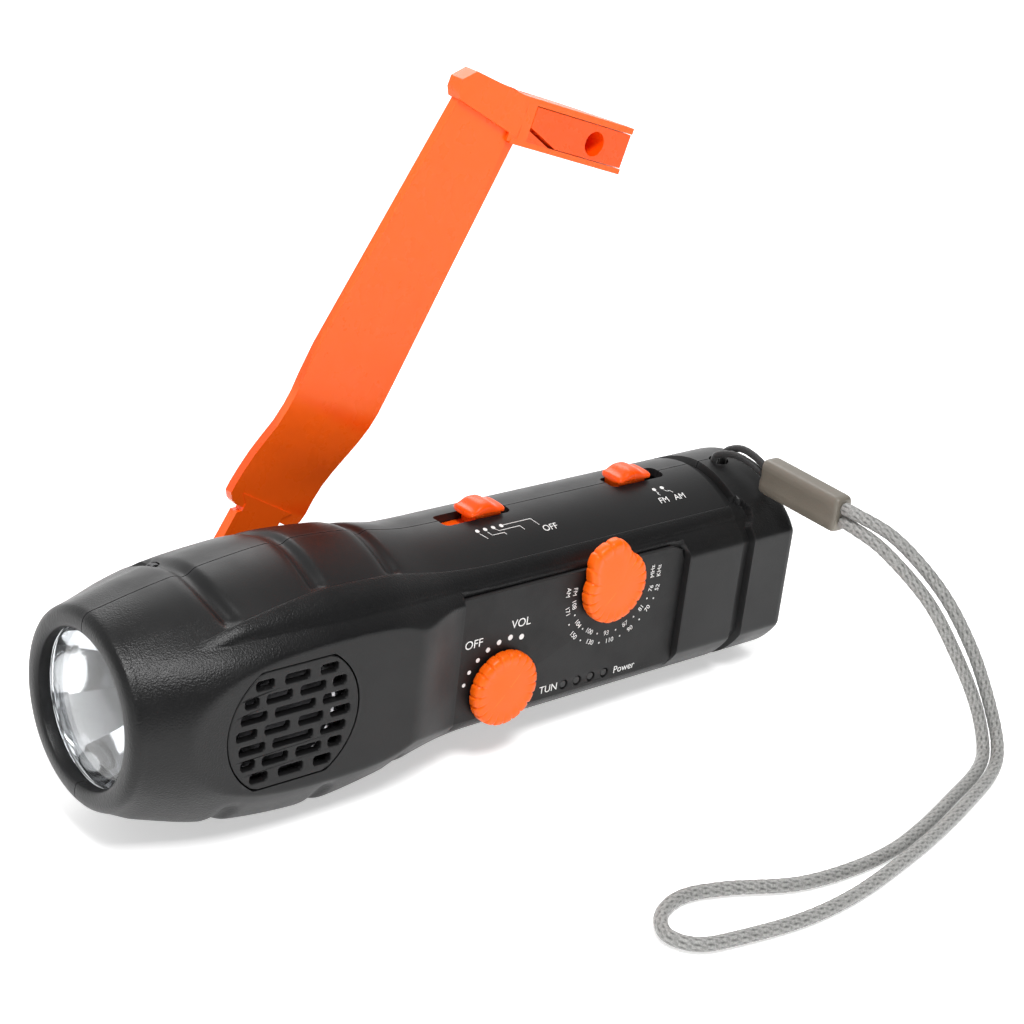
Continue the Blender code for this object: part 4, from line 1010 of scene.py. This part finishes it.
def make_lamp():
    """The lens, the nine-sided reflector and the diode."""
    dome = [(0, 1.35), (5, 1.25), (10, 0.95), (14, 0.55), (17.0, 0.1), (18.3, -0.15), (18.3, -1.6),
            (16.6, -1.6), (14, -1.0), (10, -0.55), (5, -0.25), (0, -0.15)]
    lens = turned("lamp_lens", dome, (2.2, 0, 0), (-1, 0, 0), CLEAR, "radio", 96, 40.0)
    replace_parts(lens, "lens")
    bm = bmesh.new()
    steps = 72
    rings = []
    bowl = [(18.3, 3.9), (17.6, 4.0), (17.3, 5.6), (16.2, 8.2), (14.9, 11.0), (13.2, 14.0), (11.2, 17.2),
            (9.0, 20.4), (6.9, 23.0), (5.2, 24.1), (6.4, 24.3), (10.2, 20.8), (14.4, 14.6),
            (17.6, 7.4), (18.3, 5.2)]
    for k, (radius, x) in enumerate(bowl):
        ring = []
        for j in range(steps):
            turn = 2 * math.pi * j / steps
            facet = math.cos(math.pi / 9) / math.cos((turn % (2 * math.pi / 9)) - math.pi / 9)
            share = 0.75 * ramp(k, 1, 3) * (1 - ramp(k, 8, 9)) if k < 10 else 0.0
            around = radius * (1 + share * (facet - 1))
            ring.append(Vector((x, around * math.cos(turn + 0.35), around * math.sin(turn + 0.35))))
        rings.append(ring)
    rows = ring_surface(bm, rings, caps=False)
    for k in range(steps):
        n = (k + 1) % steps
        bm.faces.new((rows[-1][k], rows[-1][n], rows[0][n], rows[0][k]))
    bmesh.ops.recalc_face_normals(bm, faces=bm.faces)
    reflector = make_object("lamp_reflector", bm, CHROME, "radio", 15.0)
    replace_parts(reflector, "reflector")
    led = [(0, 3.6), (0.9, 3.45), (1.7, 2.9), (2.2, 2.0), (2.4, 1.0), (2.4, 0.0), (0, 0.0)]
    looks = plastic("led_yellow", (0.9, 0.75, 0.2), (0.95, 0.82, 0.3), 0.2, 600.0, 0.00003)
    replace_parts(turned("lamp_led", led, (24.2, 0, 0), (-1, 0, 0), looks, "radio", 32), "led_emitter")


make_lamp()


# ---- print

PRINT_Y = -21.34
PRINT_THICKNESS = 0.01


def print_disc(bm, x, z, radius):
    """A printed dot on the panel."""
    count = 20
    ring = []
    for k in range(count):
        turn = 2 * math.pi * k / count
        ring.append(bm.verts.new((x + radius * math.cos(turn), PRINT_Y, z + radius * math.sin(turn))))
    bm.faces.new(ring)


def text_piece(name, text, size, place, right_axis, up_axis):
    """Printed characters as a thin piece: place is the text's middle; its axes are in the torch's axes."""
    curve = bpy.data.curves.new(name, "FONT")
    curve.body = text
    curve.size = size
    curve.align_x = "CENTER"
    curve.align_y = "CENTER"
    curve.extrude = PRINT_THICKNESS
    holder = bpy.data.objects.new(name + "_text", curve)
    scene.collection.objects.link(holder)
    bpy.context.view_layer.update()
    mesh = bpy.data.meshes.new_from_object(holder.evaluated_get(bpy.context.evaluated_depsgraph_get()))
    bpy.data.objects.remove(holder, do_unlink=True)
    bm = bmesh.new()
    bm.from_mesh(mesh)
    right_axis, up_axis = Vector(right_axis).normalized(), Vector(up_axis).normalized()
    turn = Matrix((right_axis, up_axis, right_axis.cross(up_axis))).transposed().to_4x4()
    turn.translation = Vector(place)
    bmesh.ops.transform(bm, matrix=turn, verts=bm.verts)
    return make_object(name, bm, PRINT, "radio", None)


DIAL = (129.6, 9.8)
DIAL_MARKS = (
    ("108", 117.2, 7.4), ("104", 119.2, 2.0), ("100", 123.2, -0.9), ("93", 128.9, -2.7), ("87", 134.7, -1.6),
    ("81", 139.4, 1.6), ("76", 141.8, 6.3), ("171", 115.4, 6.0), ("150", 118.2, -0.8), ("130", 123.8, -3.9),
    ("110", 130.2, -4.9), ("90", 136.6, -3.3), ("70", 141.5, 1.0), ("52", 143.9, 6.1), ("FM", 117.0, 10.8),
    ("AM", 114.9, 11.0), ("MHz", 141.6, 10.8), ("KHz", 143.7, 10.6),
)


def panel_print():
    """The panel's dots, dial numbers and words."""
    bm = bmesh.new()
    dots = ((86.0, -6.0, 0.5), (87.2, -3.0, 0.53), (89.4, -0.4, 0.57), (92.1, 1.6, 0.62), (95.2, 2.8, 0.67),
            (98.5, 3.3, 0.7), (101.9, 2.7, 0.72))
    for x, z, radius in dots:
        print_disc(bm, x, z, radius)
    rings = (DIAL_MARKS[:7], DIAL_MARKS[7:14])
    for ring in rings:
        for (_, xa, za), (_, xb, zb) in zip(ring, ring[1:]):
            middle = Vector(((xa + xb) / 2 - DIAL[0], (za + zb) / 2 - DIAL[1]))
            middle *= 1.03
            print_disc(bm, DIAL[0] + middle.x, DIAL[1] + middle.y, 0.22)
    make_object("print_dots", bm, PRINT, "radio", None)
    for k, (text, x, z) in enumerate(DIAL_MARKS):
        out = Vector((x - DIAL[0], 0, z - DIAL[1])).normalized()
        across = Vector((-out.z, 0, out.x))
        text_piece(f"print_{k}", text, 1.75, (x, PRINT_Y, z), across, -out)
    for name, text, size, x, z in (("off", "OFF", 3.0, 87.7, 4.0), ("vol", "VOL", 3.0, 101.3, 6.4),
                                   ("tun", "TUN", 2.7, 112.4, -13.5), ("power", "Power", 2.6, 136.4, -13.7)):
        text_piece("print_" + name, text, size, (x, PRINT_Y, z), (1, 0, 0), (0, 0, 1))


panel_print()


def on_top(x, degrees, lift=0.03):
    """A point just over the housing's near top, and the directions along and down it."""
    p = housing_point(x, degrees, -1, 1.0, lift)
    q = housing_point(x, degrees + 1.0, -1, 1.0, lift)
    return p, Vector((1, 0, 0)), (p - q).normalized()


def surface_strip(bm, points, width):
    """A printed line over the near top through (x, degrees) points."""
    for (xa, da), (xb, db) in zip(points, points[1:]):
        count = 6
        for k in range(count):
            t0, t1 = k / count, (k + 1) / count
            a, _, up_a = on_top(xa + (xb - xa) * t0, da + (db - da) * t0)
            b, _, _ = on_top(xa + (xb - xa) * t1, da + (db - da) * t1)
            across = (b - a).normalized().cross(Vector((1, 0, 0)).cross(up_a)).normalized() * width / 2
            bm.faces.new([bm.verts.new(p) for p in (a - across, b - across, b + across, a + across)])


def top_print():
    """The dots, leader lines and words of the two switches."""
    bm = bmesh.new()
    for x in (97.7, 100.0, 102.4, 104.8, 153.0, 155.6):
        ring = []
        for k in range(16):
            turn = 2 * math.pi * k / 16
            p, _, _ = on_top(x + 0.55 * math.cos(turn), 15.6 + 1.25 * math.sin(turn))
            ring.append(bm.verts.new(p))
        bm.faces.new(ring)
    for line in (
        [(97.7, 17.6), (98.9, 22.2)],
        [(100.0, 17.6), (100.6, 20.6), (104.2, 20.6), (104.4, 22.2)],
        [(102.4, 16.4), (103.2, 18.6), (109.4, 18.6), (109.9, 21.8)],
        [(105.4, 15.4), (113.6, 15.4), (114.6, 21.0)],
        [(153.0, 17.2), (153.4, 18.8), (152.9, 18.9), (153.4, 20.6)],
        [(155.6, 17.2), (156.2, 18.9), (157.0, 18.8), (157.6, 20.6)],
    ):
        surface_strip(bm, line, 0.16)
    make_object("print_lines", bm, PRINT, "radio", None)
    for text, x, degrees in (("OFF", 116.9, 24.4), ("FM", 153.2, 24.6), ("AM", 158.4, 24.6)):
        p, right_axis, up_axis = on_top(x, degrees, 0.08)
        text_piece("print_top_" + text, text, 2.5, p, right_axis, up_axis)


top_print()


# ---- looks of the CAD pieces


def dress(names, material, bevel_width=0.0, segments=2):
    """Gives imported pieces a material, and rounds their edges where a width is given."""
    for name in names:
        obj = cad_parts[name]
        obj.data.materials.clear()
        obj.data.materials.append(material)
        if bevel_width:
            welded(obj)
            bevelled(obj, bevel_width, segments)


GRIP_SWELL = 0.0002

dress(["control_panel"], PANEL, 0.15)
dress(["speaker_grille"], GRILLE, 0.28, 3)
dress(["crank_arm"], ORANGE, 0.55, 3)
dress(["crank_grip"], ORANGE)
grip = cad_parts["crank_grip"]
welded(grip)
swell = grip.modifiers.new("swell", "DISPLACE")
swell.strength = GRIP_SWELL
swell.mid_level = 0.0
bevelled(grip, 0.3)
dress(["lens_seal"], RUBBER)
dress(["housing_screw_1", "housing_screw_2", "housing_screw_3", "housing_screw_4"], BLACK_STEEL)
dress(["crank_screw", "crank_shaft",
       "volume_shaft", "tuning_shaft", "idler_axle", "dynamo", "dynamo_shaft", "gear_plate", "grip_pin",
       "lanyard_bar", "speaker_basket", "volume_control", "mode_switch_body", "band_switch_body"], STEEL)
dress(["crank_bush", "dynamo_pinion"], BRASS)
dress(["hub_gear", "idler_gear", "tuning_capacitor"], IVORY)
dress(["main_board", "led_board"], BOARD)
dress(["speaker_cone"], CONE)
dress(["ferrite_rod"], FERRITE)
dress(["ferrite_coil"], COPPER)
dress(["cell_1", "cell_2", "cell_3"], CELL)
dress(["indicator_1", "indicator_2", "indicator_3", "indicator_4"], RUBBER)


# ---- studio


def make_studio():
    """A pale floor, a sky that is brighter behind the torch, and three soft lamps."""
    bm = bmesh.new()
    half = 6.0
    for x, y in ((-half, -half), (half, -half), (half, half), (-half, half)):
        bm.verts.new((x, y, 0))
    bm.faces.new(bm.verts[:])
    floor = linked("floor", bm)
    material, tree, shader = nodes_of("floor_white")
    tint = noise_node(tree, 3.0, 2.0)
    tree.links.new(mix_colour(tree, tint, (0.93, 0.93, 0.93), (0.95, 0.95, 0.95)),
                   shader.inputs["Base Color"])
    shader.inputs["Roughness"].default_value = 0.9
    shader.inputs["Specular IOR Level"].default_value = 0.1
    shader.inputs["Emission Color"].default_value = (1, 1, 1, 1)
    shader.inputs["Emission Strength"].default_value = 0.5
    floor.data.materials.append(material)
    floor.location.z = -0.0003
    world = bpy.data.worlds.new("studio")
    scene.world = world
    world.use_nodes = True
    tree = world.node_tree
    background = tree.nodes["Background"]
    background.inputs["Color"].default_value = (1, 1, 1, 1)
    split = tree.nodes.new("ShaderNodeSeparateXYZ")
    tree.links.new(tree.nodes.new("ShaderNodeTexCoord").outputs["Generated"], split.inputs["Vector"])
    tree.links.new(range_node(tree, split.outputs["Y"], -0.5, 0.8, 0.12, 1.15), background.inputs["Strength"])

    def area(name, place, target, size, power):
        data = bpy.data.lights.new(name, "AREA")
        data.energy = power
        data.size = size
        lamp = bpy.data.objects.new(name, data)
        scene.collection.objects.link(lamp)
        lamp.location = place
        lamp.rotation_euler = (Vector(target) - Vector(place)).to_track_quat("-Z", "Y").to_euler()

    area("key", (-0.15, -0.45, 0.9), (0.05, 0, 0), 0.3, 8.0)
    area("fill", (-0.9, -0.5, 0.35), (0.0, 0, 0.03), 0.4, 0.8)
    area("rim", (0.5, 0.75, 0.8), (0.08, 0, 0.02), 0.6, 4.0)
    scene.view_settings.view_transform = "Standard"


make_studio()

bpy.context.view_layer.update()
